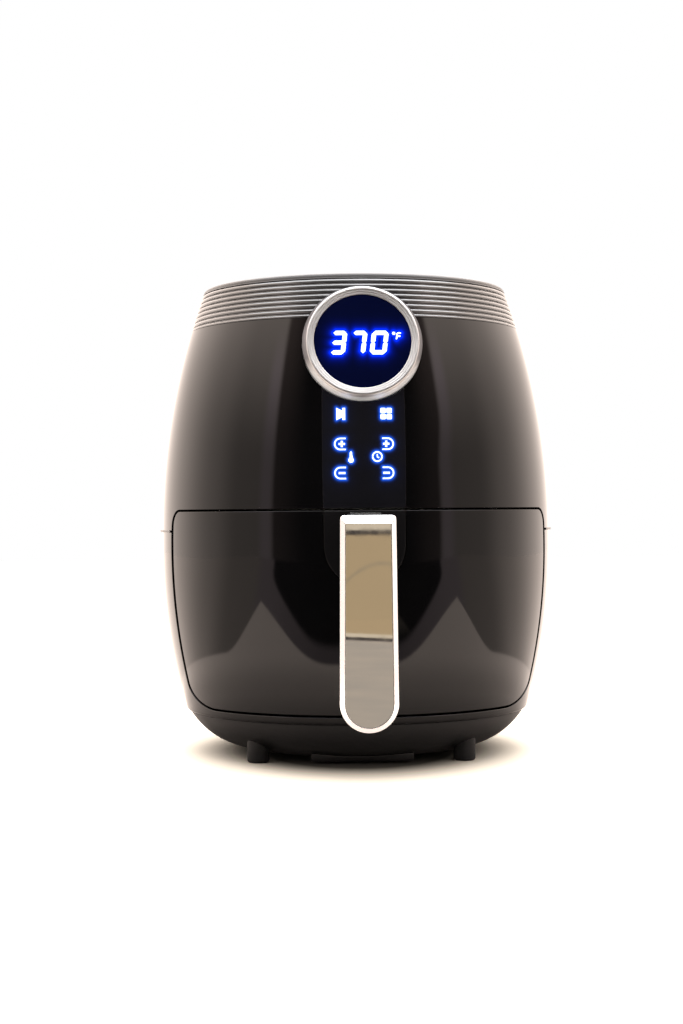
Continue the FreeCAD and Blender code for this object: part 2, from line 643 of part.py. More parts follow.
def make_lower_housing():
    body = barrel(BASE_TOP_Z, HOUSING_SPLIT_LOW)
    body = body.makeFillet(LOWER_EDGE_ROUND, edges_at_height(body, BASE_TOP_Z))
    body = body.cut(barrel(SPIGOT_TOP_Z, HOUSING_SPLIT_LOW + 1, WALL))
    body = body.cut(cylinder(SPIGOT_RADIUS + SNUG, BASE_TOP_Z - 1, SPIGOT_TOP_Z + 1))
    body = body.cut(drawer_prism(DRAWER_GAP))
    return body.cut(cylinder_y(GLAND_RADIUS + SNUG, 0, EVERYWHERE, 0, GLAND_Z))


def make_seam_ring():
    ring = barrel_shell(HOUSING_SPLIT_LOW, HOUSING_SPLIT_HIGH, WALL + SEAM_STAND_OUT, -SEAM_STAND_OUT)
    return ring.cut(drawer_prism(DRAWER_GAP))


def panel_strip(half_width, bottom_z, top_z):
    return block(-half_width, half_width, -EVERYWHERE, 0, bottom_z, top_z)


def make_upper_housing():
    body = barrel_shell(HOUSING_SPLIT_HIGH, BAND_BOTTOM_Z, WALL)
    body = body.cut(drawer_prism(DRAWER_GAP)).cut(ring_hole())
    recess = barrel_shell(HOUSING_SPLIT_HIGH, RING_CENTRE_Z, PANEL_SEAT + 1, -1)
    recess = recess.common(panel_strip(PANEL_HALF_WIDTH + PANEL_GAP, HOUSING_SPLIT_HIGH, RING_CENTRE_Z))
    return body.cut(recess).cut(vent_prism(SNUG))


def make_touch_panel():
    strip = panel_strip(PANEL_HALF_WIDTH, DRAWER_TOP_Z + DRAWER_GAP, RING_CENTRE_Z)
    return barrel_shell(DRAWER_TOP_Z, RING_CENTRE_Z, PANEL_THICKNESS).common(strip).cut(ring_hole())


def make_touch_foil():
    strip = panel_strip(FOIL_HALF_WIDTH, FOIL_BOTTOM_Z, FOIL_TOP_Z)
    return barrel_shell(FOIL_BOTTOM_Z, FOIL_TOP_Z, FOIL_THICKNESS, WALL + SNUG).common(strip)


def rib_corners(low, high):
    """A rib's half outline between two grooves: sloped, flat and sloped again."""
    return [(barrel_radius(low) - RIB_DEPTH, low), (barrel_radius(low), low + RIB_SLOPE),
            (barrel_radius(high), high - RIB_SLOPE), (barrel_radius(high) - RIB_DEPTH, high)]


def make_ribbed_band():
    """Ribs between narrow grooves, the first groove above the bottom rib."""
    low = BAND_BOTTOM_Z
    corners = []
    for i in range(RIB_COUNT):
        high = BAND_BOTTOM_Z + FIRST_GROOVE + i * RIB_PITCH - RIB_GROOVE / 2
        corners += rib_corners(low, high)
        low = high + RIB_GROOVE
    corners += [(barrel_radius(low) - RIB_DEPTH, low), (barrel_radius(BAND_TOP_Z) - RIB_DEPTH, BAND_TOP_Z),
                (barrel_radius(BAND_TOP_Z) - BAND_THICKNESS, BAND_TOP_Z),
                (barrel_radius(BAND_BOTTOM_Z) - BAND_THICKNESS, BAND_BOTTOM_Z)]
    return turned_points(corners).cut(ring_hole())


def make_top_cover():
    body = barrel(BAND_TOP_Z, TOP_Z)
    body = body.makeFillet(TOP_EDGE_ROUND, edges_at_height(body, TOP_Z))
    outer = barrel_radius(BAND_TOP_Z) - BAND_THICKNESS - SNUG
    return fused([body, cylinder(outer, BAND_TOP_Z - COVER_SPIGOT, BAND_TOP_Z).cut(
        cylinder(outer - WALL, BAND_TOP_Z - COVER_SPIGOT, BAND_TOP_Z))])


# ---------------------------------------------------------------- display

def make_display_ring():
    """Cone outside, shallow cone inside, with a skirt behind that holds the lens and the board."""
    return on_ring_seat(turned_points([
        (SKIRT_BORE_RADIUS, -RING_SKIRT_DEPTH), (RING_FOOT_RADIUS, -RING_SKIRT_DEPTH), (RING_FOOT_RADIUS, 0),
        (RING_CREST_RADIUS, RING_CREST_HEIGHT), (RING_BORE_RADIUS, RING_LIP_HEIGHT),
        (RING_BORE_RADIUS, LENS_FRONT), (SKIRT_BORE_RADIUS, LENS_FRONT)]))


def make_display_lens():
    return on_ring_seat(cylinder(SKIRT_BORE_RADIUS - SNUG, LENS_BACK, LENS_FRONT))


def make_digit_module():
    half_x, half_y = DIGITS_WIDTH / 2, DIGITS_HEIGHT / 2
    return on_ring_seat(block(-half_x, half_x, -half_y, half_y, LENS_BACK - DIGITS_DEPTH, LENS_BACK))


def make_display_board():
    back = DISPLAY_BOARD_BACK
    return on_ring_seat(cylinder(SKIRT_BORE_RADIUS - SNUG, back, back + DISPLAY_BOARD_THICKNESS))


# ---------------------------------------------------------------- base and feet

def bowl(flat_radius, flat_z, rim_radius, rim_z, top_radius, top_z):
    """A bowl with a flat bottom, one arc up to its rim and an upright side above it."""
    flat, rim = V(flat_radius, 0, flat_z), V(rim_radius, 0, rim_z)
    chord = rim - flat
    outward = V(chord.z, 0, -chord.x).normalize()
    middle = (flat + rim) / 2 + outward * BASE_BULGE
    corners = [rim, V(top_radius, 0, rim_z), V(top_radius, 0, top_z), V(0, 0, top_z), V(0, 0, flat_z), flat]
    kept = [corner for i, corner in enumerate(corners) if i == 0 or corner != corners[i - 1]]
    return turned([Part.Arc(flat, middle, rim).toShape()] + Part.makePolygon(kept).Edges)


def foot_places():
    return [(x, y) for x in (-FOOT_OFFSET, FOOT_OFFSET) for y in (-FOOT_OFFSET, FOOT_OFFSET)]


def make_base():
    rim = barrel_radius(BASE_TOP_Z) - BASE_STEP
    outside = bowl(BASE_FLAT_RADIUS, BASE_FLAT_Z, rim, BASE_TOP_Z, SPIGOT_RADIUS, SPIGOT_TOP_Z)
    inner = SPIGOT_RADIUS - WALL
    inside = bowl(BASE_FLAT_RADIUS - WALL, BASE_FLAT_Z + WALL, inner, BASE_TOP_Z - WALL, inner, SPIGOT_TOP_Z)
    bosses = [cylinder(FOOT_RADIUS + FOOT_BOSS_WALL, 0, FOOT_BOSS_TOP_Z, x, y) for x, y in foot_places()]
    shell = outside.cut(inside)
    pad = block(-PAD_HALF_WIDTH, PAD_HALF_WIDTH, PAD_FRONT_Y, PAD_FRONT_Y + PAD_LENGTH,
                PAD_Z, BASE_FLAT_Z + WALL)
    body = fused([shell, pad] + [boss.common(outside) for boss in bosses])
    for x, y in foot_places():
        body = body.cut(cylinder(FOOT_RADIUS + SNUG, 0, FOOT_HEIGHT, x, y))
        body = body.cut(cylinder(SCREW_RADIUS, 0, FOOT_BOSS_TOP_Z - 1, x, y))
    return body


def make_foot(x, y):
    body = cylinder(FOOT_RADIUS, 0, FOOT_HEIGHT, x, y)
    body = body.makeFillet(FOOT_EDGE_ROUND, edges_at_height(body, 0))
    head = cylinder(SCREW_HEAD_RADIUS + SNUG, 0, SCREW_HEAD_SINK + SCREW_HEAD_HEIGHT, x, y)
    return body.cut(head).cut(cylinder(SCREW_RADIUS, 0, FOOT_HEIGHT, x, y))


def make_foot_screw(x, y):
    top = SCREW_HEAD_SINK + SCREW_HEAD_HEIGHT
    head = cylinder(SCREW_HEAD_RADIUS, SCREW_HEAD_SINK, top, x, y)
    return fused([head, cylinder(SCREW_RADIUS, top, FOOT_BOSS_TOP_Z - 1, x, y)])


# ---------------------------------------------------------------- drawer bay

def make_base_deck():
    return cylinder(barrel_radius(SPIGOT_TOP_Z) - WALL - SNUG, SPIGOT_TOP_Z, DECK_TOP_Z)


def make_bay_tray():
    """A sheet box, open at its front and top."""
    inner, corner = TRAY_HALF - TRAY_WALL, TRAY_CORNER - TRAY_WALL
    body = rounded_block(TRAY_HALF, TRAY_HALF, TRAY_CORNER, DECK_TOP_Z, CHAMBER_BOTTOM_Z)
    body = body.cut(rounded_block(inner, inner, corner, DECK_TOP_Z + TRAY_WALL, CHAMBER_BOTTOM_Z + 1))
    front = block(-EVERYWHERE, EVERYWHERE, -EVERYWHERE, TRAY_FRONT_Y, 0, EVERYWHERE)
    return body.cut(front)


def make_bay_frame():
    """The wall round the tray's mouth, out to the lower housing."""
    inner = TRAY_HALF - TRAY_WALL
    plate = block(-EVERYWHERE, EVERYWHERE, TRAY_FRONT_Y - FRAME_THICKNESS, TRAY_FRONT_Y, 0, EVERYWHERE)
    plate = plate.common(barrel(DECK_TOP_Z, CHAMBER_BOTTOM_Z, WALL + SNUG))
    mouth = block(-inner, inner, -EVERYWHERE, 0, DECK_TOP_Z + TRAY_WALL, EVERYWHERE)
    return plate.cut(mouth).cut(cylinder_y(PLUNGER_RADIUS + MOVE_GAP, -EVERYWHERE, 0, SWITCH_X, SWITCH_Z))


def make_drawer_rail():
    return block(PAN_HALF + MOVE_GAP, TRAY_HALF - TRAY_WALL, TRAY_FRONT_Y, RAIL_BACK_Y,
                 RAIL_TOP_Z - RAIL_HEIGHT, RAIL_TOP_Z)


# ---------------------------------------------------------------- cooking chamber

def coil_leg_places():
    turn = radians(COIL_GAP_ANGLE)
    return [(radius * cos(turn), radius * sin(turn)) for radius in (COIL_OUTER_RADIUS, COIL_INNER_RADIUS)]


def cut_coil_legs(body, gap):
    for x, y in coil_leg_places():
        body = body.cut(cylinder(COIL_TUBE_RADIUS + gap, CHAMBER_TOP_Z - PAST, COIL_LEG_TOP_Z, x, y))
    return body


def make_chamber_liner():
    inner, corner = TRAY_HALF - CHAMBER_WALL, TRAY_CORNER - CHAMBER_WALL
    outside = rounded_block(TRAY_HALF, TRAY_HALF, TRAY_CORNER, CHAMBER_BOTTOM_Z, CHAMBER_TOP_Z)
    flange_half = TRAY_HALF + CHAMBER_FLANGE_WIDTH
    flange = rounded_block(flange_half, flange_half, TRAY_CORNER + CHAMBER_FLANGE_WIDTH,
                           CHAMBER_BOTTOM_Z, CHAMBER_BOTTOM_Z + CHAMBER_FLANGE_THICKNESS)
    inside = rounded_block(inner, inner, corner, CHAMBER_BOTTOM_Z - 1, CHAMBER_TOP_Z - CHAMBER_WALL)
    body = fused([outside, flange]).cut(inside)
    body = body.cut(cylinder(SHAFT_HOLE_RADIUS, CHAMBER_TOP_Z - PAST, CHAMBER_TOP_Z + 1))
    body = cut_coil_legs(body, SNUG)
    body = body.cut(duct_space(DUCT_WALL, 0, EVERYWHERE))
    return body.cut(cylinder_x(SENSOR_RADIUS + SNUG, -EVERYWHERE, 0, SENSOR_Y, SENSOR_Z))


def make_chamber_deck():
    hole_half = TRAY_HALF + SNUG
    top = UPPER_DECK_Z + UPPER_DECK_THICKNESS
    disc = cylinder(barrel_radius(top) - WALL - SNUG, UPPER_DECK_Z, top)
    return disc.cut(rounded_block(hole_half, hole_half, TRAY_CORNER + SNUG, UPPER_DECK_Z - 1, top + 1))


def swept_ring(radius, tube_radius, z, x, y, start, turn):
    """A piece of a ring of round tube, from one angle through another, in degrees."""
    outline = Part.Circle(V(x + radius, y, z), Y_AXIS, tube_radius).toShape()
    body = Part.Face(Part.Wire([outline])).revolve(V(x, y, z), Z_AXIS, turn)
    body.rotate(V(x, y, z), Z_AXIS, start)
    return body


def make_heating_element():
    """Two rings of one tube, joined by a bend, with both ends led up through the chamber's top."""
    tube, gap = COIL_TUBE_RADIUS, COIL_GAP_ANGLE
    rings = [swept_ring(radius, tube, COIL_Z, 0, 0, gap, 360 - 2 * gap)
             for radius in (COIL_OUTER_RADIUS, COIL_INNER_RADIUS)]
    middle, turn = (COIL_OUTER_RADIUS + COIL_INNER_RADIUS) / 2, radians(-gap)
    bend = swept_ring((COIL_OUTER_RADIUS - COIL_INNER_RADIUS) / 2, tube, COIL_Z,
                      middle * cos(turn), middle * sin(turn), -gap, 180)
    legs = [cylinder(tube, COIL_Z, COIL_LEG_TOP_Z, x, y) for x, y in coil_leg_places()]
    elbows = [Part.makeSphere(tube, V(x, y, COIL_Z)) for x, y in coil_leg_places()]
    return fused(rings + [bend] + legs + elbows)


def make_heater_clip():
    low, high = COIL_INNER_RADIUS - COIL_TUBE_RADIUS, COIL_OUTER_RADIUS + COIL_TUBE_RADIUS
    clip = block(low - CLIP_MARGIN, high + CLIP_MARGIN, -CLIP_THICKNESS / 2, CLIP_THICKNESS / 2,
                 COIL_Z - COIL_TUBE_RADIUS - CLIP_MARGIN, CHAMBER_TOP_Z - CHAMBER_WALL)
    for radius in (COIL_INNER_RADIUS, COIL_OUTER_RADIUS):
        clip = clip.cut(cylinder_y(COIL_TUBE_RADIUS + SNUG, -PAST, PAST, radius, COIL_Z))
    return clip


# ---------------------------------------------------------------- fans and motor

def shaft_bore(z_low, z_high):
    return cylinder(SHAFT_RADIUS + BEARING_FIT, z_low - 1, z_high + 1)


def make_hot_air_fan():
    blade_bottom = FAN_PLATE_Z - FAN_BLADE_HEIGHT
    top = FAN_PLATE_Z + FAN_PLATE_THICKNESS
    plate = cylinder(FAN_RADIUS, FAN_PLATE_Z, top)
    hub = cylinder(FAN_HUB_RADIUS, blade_bottom, top + FAN_HUB_RISE)
    blade = block(FAN_BLADE_START, FAN_RADIUS - 1, -FAN_BLADE_THICKNESS / 2, FAN_BLADE_THICKNESS / 2,
                  blade_bottom, FAN_PLATE_Z)
    blades = turned_copies(blade, FAN_BLADE_COUNT)
    return fused([plate, hub] + blades).cut(shaft_bore(blade_bottom, top + FAN_HUB_RISE))


def make_heat_shield():
    top = SHIELD_Z + SHIELD_THICKNESS
    body = rounded_block(SHIELD_HALF, SHIELD_HALF, SHIELD_CORNER, SHIELD_Z, top)
    body = body.cut(cylinder(SHAFT_HOLE_RADIUS, SHIELD_Z - 1, top + 1))
    for x, y in post_places():
        body = body.cut(cylinder(POST_RADIUS + SNUG, SHIELD_Z - 1, top + 1, x, y))
    return cut_coil_legs(body, MOVE_GAP)


def post_places():
    return [(x, y) for x in (-POST_OFFSET_X, POST_OFFSET_X) for y in (-POST_OFFSET_Y, POST_OFFSET_Y)]


def make_motor_post(x, y):
    """A stepped post: the shield, the lower bracket, the stator and the upper bracket sit on it."""
    return fused([cylinder(POST_COLLAR_RADIUS, CHAMBER_TOP_Z, SHIELD_Z, x, y),
                  cylinder(POST_RADIUS, CHAMBER_TOP_Z, LOWER_BRACKET_Z, x, y),
                  cylinder(POST_TIP_RADIUS, CHAMBER_TOP_Z, UPPER_BRACKET_Z, x, y)])


def make_motor_bracket(z):
    top = z + BRACKET_THICKNESS
    half_x, half_y = POST_OFFSET_X + BRACKET_MARGIN, POST_OFFSET_Y + BRACKET_MARGIN
    body = rounded_block(half_x, half_y, BRACKET_MARGIN, z, top)
    body = body.cut(cylinder(BEARING_RADIUS, z - 1, top + 1))
    for x, y in post_places():
        if z < UPPER_BRACKET_Z:
            body = body.cut(cylinder(POST_TIP_RADIUS, z - 1, top + 1, x, y))
    return body


def make_shaft_bearing(z):
    middle = z + BRACKET_THICKNESS / 2
    low, high = middle - BEARING_HEIGHT / 2, middle + BEARING_HEIGHT / 2
    return cylinder(BEARING_RADIUS, low, high).cut(shaft_bore(low, high))


def make_motor_stator():
    """A laminated block round the rotor, with one leg that carries the winding."""
    core_low, core_high = STATOR_BOTTOM_Z + CORE_MARGIN, STATOR_TOP_Z - CORE_MARGIN
    body = block(-STATOR_HALF_X, STATOR_HALF_X, -STATOR_HALF_Y, STATOR_HALF_Y, STATOR_BOTTOM_Z, STATOR_TOP_Z)
    leg = block(0, STATOR_HALF_X + WINDING_LENGTH + 1, -CORE_HALF_WIDTH, CORE_HALF_WIDTH, core_low, core_high)
    body = fused([body, leg]).cut(cylinder(ROTOR_RADIUS + ROTOR_AIR_GAP, STATOR_BOTTOM_Z, STATOR_TOP_Z))
    for x, y in post_places():
        body = body.cut(cylinder(POST_TIP_RADIUS, STATOR_BOTTOM_Z, STATOR_TOP_Z, x, y))
    return body


def make_motor_winding():
    low, high = STATOR_BOTTOM_Z + CORE_MARGIN, STATOR_TOP_Z - CORE_MARGIN
    side = CORE_HALF_WIDTH + WINDING_THICKNESS
    near, far = STATOR_HALF_X, STATOR_HALF_X + WINDING_LENGTH
    body = block(near, far, -side, side, low - WINDING_THICKNESS, high + WINDING_THICKNESS)
    body = body.makeFillet(WINDING_THICKNESS / 2, edges_along(body, X_AXIS))
    return body.cut(block(near - 1, far + 1, -CORE_HALF_WIDTH, CORE_HALF_WIDTH, low, high))


def make_motor_rotor():
    low, high = STATOR_BOTTOM_Z, STATOR_TOP_Z
    return cylinder(ROTOR_RADIUS, low, high).cut(shaft_bore(low, high))


def make_cooling_fan():
    top = COOLING_FAN_Z + COOLING_FAN_HEIGHT
    hub = cylinder(COOLING_HUB_RADIUS, COOLING_FAN_Z, top)
    width = COOLING_FAN_HEIGHT / sin(radians(COOLING_BLADE_PITCH)) - 2 * COOLING_BLADE_THICKNESS
    blade = block(FAN_HUB_RADIUS, COOLING_FAN_RADIUS + PAST, -width / 2, width / 2,
                  -COOLING_BLADE_THICKNESS / 2, COOLING_BLADE_THICKNESS / 2)
    blade.rotate(V(), X_AXIS, COOLING_BLADE_PITCH)
    blade.translate(V(0, 0, (COOLING_FAN_Z + top) / 2))
    blades = turned_copies(blade, COOLING_BLADE_COUNT)
    body = fused([hub] + blades).common(cylinder(COOLING_FAN_RADIUS, COOLING_FAN_Z - PAST, top + PAST))
    return body.cut(shaft_bore(COOLING_FAN_Z, top))


def make_fan_nut():
    low = COOLING_FAN_Z + COOLING_FAN_HEIGHT
    reach = NUT_WIDTH / 2 / cos(pi / NUT_SIDES)
    turns = [2 * pi * i / NUT_SIDES for i in range(NUT_SIDES + 1)]
    corners = [V(reach * cos(turn), reach * sin(turn), low) for turn in turns]
    nut = Part.Face(Part.makePolygon(corners)).extrude(V(0, 0, NUT_HEIGHT))
    return nut.cut(shaft_bore(low, low + NUT_HEIGHT))


# ---------------------------------------------------------------- exhaust

def vent_prism(grow):
    return slab_y(VENT_HALF_WIDTH + grow, VENT_CORNER, 0, EVERYWHERE, VENT_BOTTOM_Z - grow, VENT_TOP_Z + grow)


def make_vent_hood():
    """A cap that stands out of the back, with level slots and a wall that goes in through the housing."""
    low, high = VENT_BOTTOM_Z - PAST, VENT_TOP_Z + PAST
    face = barrel_shell(low, high, VENT_WALL, -VENT_STAND_OUT)
    wall = barrel_shell(low, high, VENT_STAND_OUT + WALL, -VENT_STAND_OUT).cut(vent_prism(-VENT_WALL))
    body = fused([face.common(vent_prism(0)), wall.common(vent_prism(0))])
    pitch = (VENT_TOP_Z - VENT_BOTTOM_Z) / (VENT_SLOT_COUNT + 1)
    for i in range(VENT_SLOT_COUNT):
        middle = VENT_BOTTOM_Z + (i + 1) * pitch
        body = body.cut(slab_y(VENT_SLOT_HALF_WIDTH, VENT_SLOT_HEIGHT / 2 - SNUG, 0, EVERYWHERE,
                               middle - VENT_SLOT_HEIGHT / 2, middle + VENT_SLOT_HEIGHT / 2))
    return body


def duct_space(shrink, y_low, y_high):
    inset = VENT_WALL + DUCT_MARGIN + shrink
    half = VENT_HALF_WIDTH - inset
    return block(-half, half, y_low, y_high, VENT_BOTTOM_Z + inset, VENT_TOP_Z - inset)


def make_exhaust_duct():
    body = duct_space(0, TRAY_HALF, EVERYWHERE).cut(duct_space(DUCT_WALL, TRAY_HALF, EVERYWHERE))
    return body.common(barrel(VENT_BOTTOM_Z, VENT_TOP_Z, SNUG))


# ---------------------------------------------------------------- power side

def gland_collar_faces():
    """Where the gland's collars meet the sloping wall, inside and outside."""
    return (barrel_radius(GLAND_Z - GLAND_COLLAR_RADIUS) - WALL - SNUG,
            barrel_radius(GLAND_Z + GLAND_COLLAR_RADIUS) + SNUG)


def make_cord_gland():
    """A rubber sleeve through the wall, with a collar on each side and a tapered tail."""
    inner, outer = gland_collar_faces()
    body = fused([cylinder_y(GLAND_RADIUS, inner - GLAND_INNER, outer + 1, 0, GLAND_Z),
                  cylinder_y(GLAND_COLLAR_RADIUS, inner - GLAND_COLLAR_THICKNESS, inner, 0, GLAND_Z),
                  cylinder_y(GLAND_COLLAR_RADIUS, outer, outer + GLAND_COLLAR_THICKNESS, 0, GLAND_Z),
                  Part.makeCone(GLAND_RADIUS, GLAND_TAIL_RADIUS, GLAND_TAIL, V(0, outer, GLAND_Z), Y_AXIS)])
    return body.cut(cylinder_y(CORD_BORE_RADIUS, 0, EVERYWHERE, 0, GLAND_Z))


def board_front():
    return TRAY_HALF + STANDOFF_HEIGHT


def make_power_board():
    return block(-BOARD_HALF_WIDTH, BOARD_HALF_WIDTH, board_front(), board_front() + BOARD_THICKNESS,
                 BOARD_BOTTOM_Z, BOARD_TOP_Z)


def make_board_standoffs():
    places = [(x, z) for x in (-BOARD_HALF_WIDTH + STANDOFF_INSET, BOARD_HALF_WIDTH - STANDOFF_INSET)
              for z in (BOARD_BOTTOM_Z + STANDOFF_INSET, BOARD_TOP_Z - STANDOFF_INSET)]
    return [cylinder_y(STANDOFF_RADIUS, TRAY_HALF, board_front(), x, z) for x, z in places]


def board_block(width, height, depth, x, z):
    """A box-shaped component, its lower left corner at (x, z) of the board."""
    face = board_front() + BOARD_THICKNESS
    left, bottom = x - BOARD_HALF_WIDTH, z + BOARD_BOTTOM_Z
    return block(left, left + width, face, face + depth, bottom, bottom + height)


def board_can(radius, depth, x, z):
    """A round component, its middle at (x, z) from the board's lower left corner."""
    face = board_front() + BOARD_THICKNESS
    return cylinder_y(radius, face, face + depth, x - BOARD_HALF_WIDTH, z + BOARD_BOTTOM_Z)


def make_board_parts():
    """A relay, a transformer and two capacitors on the power board."""
    return [board_block(RELAY_WIDTH, RELAY_HEIGHT, RELAY_DEPTH, RELAY_X, RELAY_Z),
            board_block(TRANSFORMER_WIDTH, TRANSFORMER_HEIGHT, TRANSFORMER_DEPTH,
                        TRANSFORMER_X, TRANSFORMER_Z),
            board_can(LARGE_CAN_RADIUS, LARGE_CAN_DEPTH, LARGE_CAN_X, LARGE_CAN_Z),
            board_can(SMALL_CAN_RADIUS, SMALL_CAN_DEPTH, SMALL_CAN_X, SMALL_CAN_Z)]


def make_temperature_sensor():
    near = -TRAY_HALF - STANDOFF_HEIGHT
    body = cylinder_x(SENSOR_RADIUS, near, near + SENSOR_LENGTH, SENSOR_Y, SENSOR_Z)
    return fused([body, cylinder_x(SENSOR_HEAD_RADIUS, near, -TRAY_HALF, SENSOR_Y, SENSOR_Z)])


def make_thermal_fuse():
    x, y, z = FUSE_INSET - SHIELD_HALF, SHIELD_HALF - FUSE_INSET, SHIELD_Z + SHIELD_THICKNESS + FUSE_RADIUS
    return cylinder_x(FUSE_RADIUS, x - FUSE_LENGTH / 2, x + FUSE_LENGTH / 2, y, z)


def make_drawer_switch():
    half_x, half_z = SWITCH_WIDTH / 2, SWITCH_HEIGHT / 2
    body = block(SWITCH_X - half_x, SWITCH_X + half_x, TRAY_FRONT_Y, TRAY_FRONT_Y + SWITCH_DEPTH,
                 SWITCH_Z - half_z, SWITCH_Z + half_z)
    bore_end = TRAY_FRONT_Y + SWITCH_BORE_DEPTH
    return body.cut(cylinder_y(PLUNGER_RADIUS + PLUNGER_FIT, TRAY_FRONT_Y - 1, bore_end, SWITCH_X, SWITCH_Z))


def plunger_tip_y():
    return TRAY_FRONT_Y - FRAME_THICKNESS - PLUNGER_STAND_OUT


def make_switch_plunger():
    inner_end = TRAY_FRONT_Y + SWITCH_BORE_DEPTH - 2 * PLUNGER_TRAVEL
    return cylinder_y(PLUNGER_RADIUS, plunger_tip_y(), inner_end, SWITCH_X, SWITCH_Z)


# ---------------------------------------------------------------- drawer front, pan and basket

def make_drawer_front():
    """The barrel's wall inside the drawer's outline, with a notch for the insert, a tongue that keeps the
    switch pressed and a catch for the latch's hook."""
    low, high = DRAWER_BOTTOM_Z - PAST, DRAWER_TOP_Z + PAST
    shell = barrel_shell(low, high, WALL).common(drawer_prism(0))
    shell = shell.cut(insert_prism(INSERT_GAP, EVERYWHERE))
    tongue = block(SWITCH_X - TONGUE_HALF_WIDTH, SWITCH_X + TONGUE_HALF_WIDTH, -EVERYWHERE,
                   plunger_tip_y() - MOVE_GAP, SWITCH_Z - TONGUE_HALF_HEIGHT, SWITCH_Z + TONGUE_HALF_HEIGHT)
    catch_z = HOOK_BOTTOM_Z + HOOK_HEIGHT + MOVE_GAP
    catch = block(-CATCH_HALF_WIDTH, CATCH_HALF_WIDTH, -EVERYWHERE, HOOK_TIP_Y + CATCH_OVERLAP,
                  catch_z, catch_z + CATCH_THICKNESS)
    core = barrel(low, high, WALL / 2)
    return fused([shell, tongue.common(core), catch.common(core)])


def make_inner_panel():
    front = INNER_PANEL_BACK_Y - INNER_PANEL_THICKNESS
    low, high = INNER_PANEL_BOTTOM_Z, INNER_PANEL_TOP_Z
    body = barrel(low, high, WALL + SNUG).common(
        block(-EVERYWHERE, EVERYWHERE, -EVERYWHERE, INNER_PANEL_BACK_Y, low, high))
    hollow = block(-EVERYWHERE, EVERYWHERE, -EVERYWHERE, front, low + INNER_RIM_WALL, high - INNER_RIM_WALL)
    notch_half = INSERT_HALF_WIDTH + INSERT_GAP
    notch = block(-notch_half, notch_half, -EVERYWHERE, front, high - INNER_RIM_WALL - 1, high + 1)
    return cut_rivets(body.cut(hollow).cut(notch))


def pan_shape(half, corner, edge_round, z_low, z_high):
    body = rounded_block(half, half, corner, z_low, z_high)
    return body.makeFillet(edge_round, edges_at_height(body, z_low))


def make_pan():
    """A rounded square pan that hangs by its flange on the two rails."""
    top = PAN_FLANGE_Z + PAN_FLANGE_THICKNESS
    outside = pan_shape(PAN_HALF, PAN_CORNER, PAN_EDGE_ROUND, PAN_BOTTOM_Z, top)
    inner, corner = PAN_HALF - PAN_WALL, PAN_CORNER - PAN_WALL
    inside = pan_shape(inner, corner, PAN_EDGE_ROUND - PAN_WALL, PAN_BOTTOM_Z + PAN_WALL, top + 1)
    flange_half = PAN_HALF + PAN_FLANGE_WIDTH
    flange = rounded_block(flange_half, flange_half, PAN_CORNER + PAN_FLANGE_WIDTH, PAN_FLANGE_Z, top)
    return cut_rivets(fused([outside, flange]).cut(inside))


def basket_holes():
    """Round holes on a square grid, inside the round field of the basket's bottom."""
    steps = range(-HOLES_EACH_WAY, HOLES_EACH_WAY + 1)
    holes = []
    for i in steps:
        for j in steps:
            x, y = i * HOLE_PITCH, j * HOLE_PITCH
            if x ** 2 + y ** 2 < HOLE_FIELD_RADIUS ** 2:
                holes.append(cylinder(HOLE_RADIUS, BASKET_BOTTOM_Z - 1, BASKET_BOTTOM_Z + PAST, x, y))
    return holes


def basket_slots():
    """Upright slots, cut right across the basket in both directions."""
    slots = []
    for i in range(SLOT_COUNT):
        middle = (i - (SLOT_COUNT - 1) / 2) * SLOT_PITCH
        low, high, reach = middle - SLOT_WIDTH / 2, middle + SLOT_WIDTH / 2, BASKET_HALF + 1
        slots.append(block(low, high, -reach, reach, SLOT_BOTTOM_Z, SLOT_BOTTOM_Z + SLOT_HEIGHT))
        slots.append(block(-reach, reach, low, high, SLOT_BOTTOM_Z, SLOT_BOTTOM_Z + SLOT_HEIGHT))
    return slots


def make_basket():
    outside = pan_shape(BASKET_HALF, BASKET_CORNER, BASKET_EDGE_ROUND, BASKET_BOTTOM_Z, BASKET_TOP_Z)
    inner = BASKET_HALF - BASKET_WALL
    inside = pan_shape(inner, BASKET_CORNER - BASKET_WALL, BASKET_EDGE_ROUND - BASKET_WALL,
                       BASKET_BOTTOM_Z + BASKET_WALL, BASKET_TOP_Z + 1)
    body = outside.cut(inside)
    return cut_rivets(body.cut(Part.makeCompound(basket_holes())).cut(Part.makeCompound(basket_slots())))


def make_basket_pads():
    places = [(x, y) for x in (-BASKET_PAD_OFFSET, BASKET_PAD_OFFSET)
              for y in (-BASKET_PAD_OFFSET, BASKET_PAD_OFFSET)]
    return [cylinder(BASKET_PAD_RADIUS, PAN_BOTTOM_Z + PAN_WALL, BASKET_BOTTOM_Z, x, y) for x, y in places]


def rivet_rows():
    """Each row: half spacing, height, and the outside faces of the two sheets it joins, front and back."""
    front, back = INNER_PANEL_BACK_Y - INNER_PANEL_THICKNESS, -PAN_HALF + PAN_WALL
    return [(PAN_RIVET_X, PAN_BOTTOM_Z + PAN_RIVET_LIFT, front, back),
            (PAN_RIVET_X, PAN_FLANGE_Z - PAN_RIVET_DROP, front, back),
            (BASKET_RIVET_X, BRACKET_STRIP_Z - BASKET_RIVET_DROP, -BASKET_HALF, BRACKET_BACK_Y)]


def cut_rivets(body):
    for half, z, front, back in rivet_rows():
        for x in (-half, half):
            body = body.cut(cylinder_y(RIVET_RADIUS, front, back, x, z))
    return body


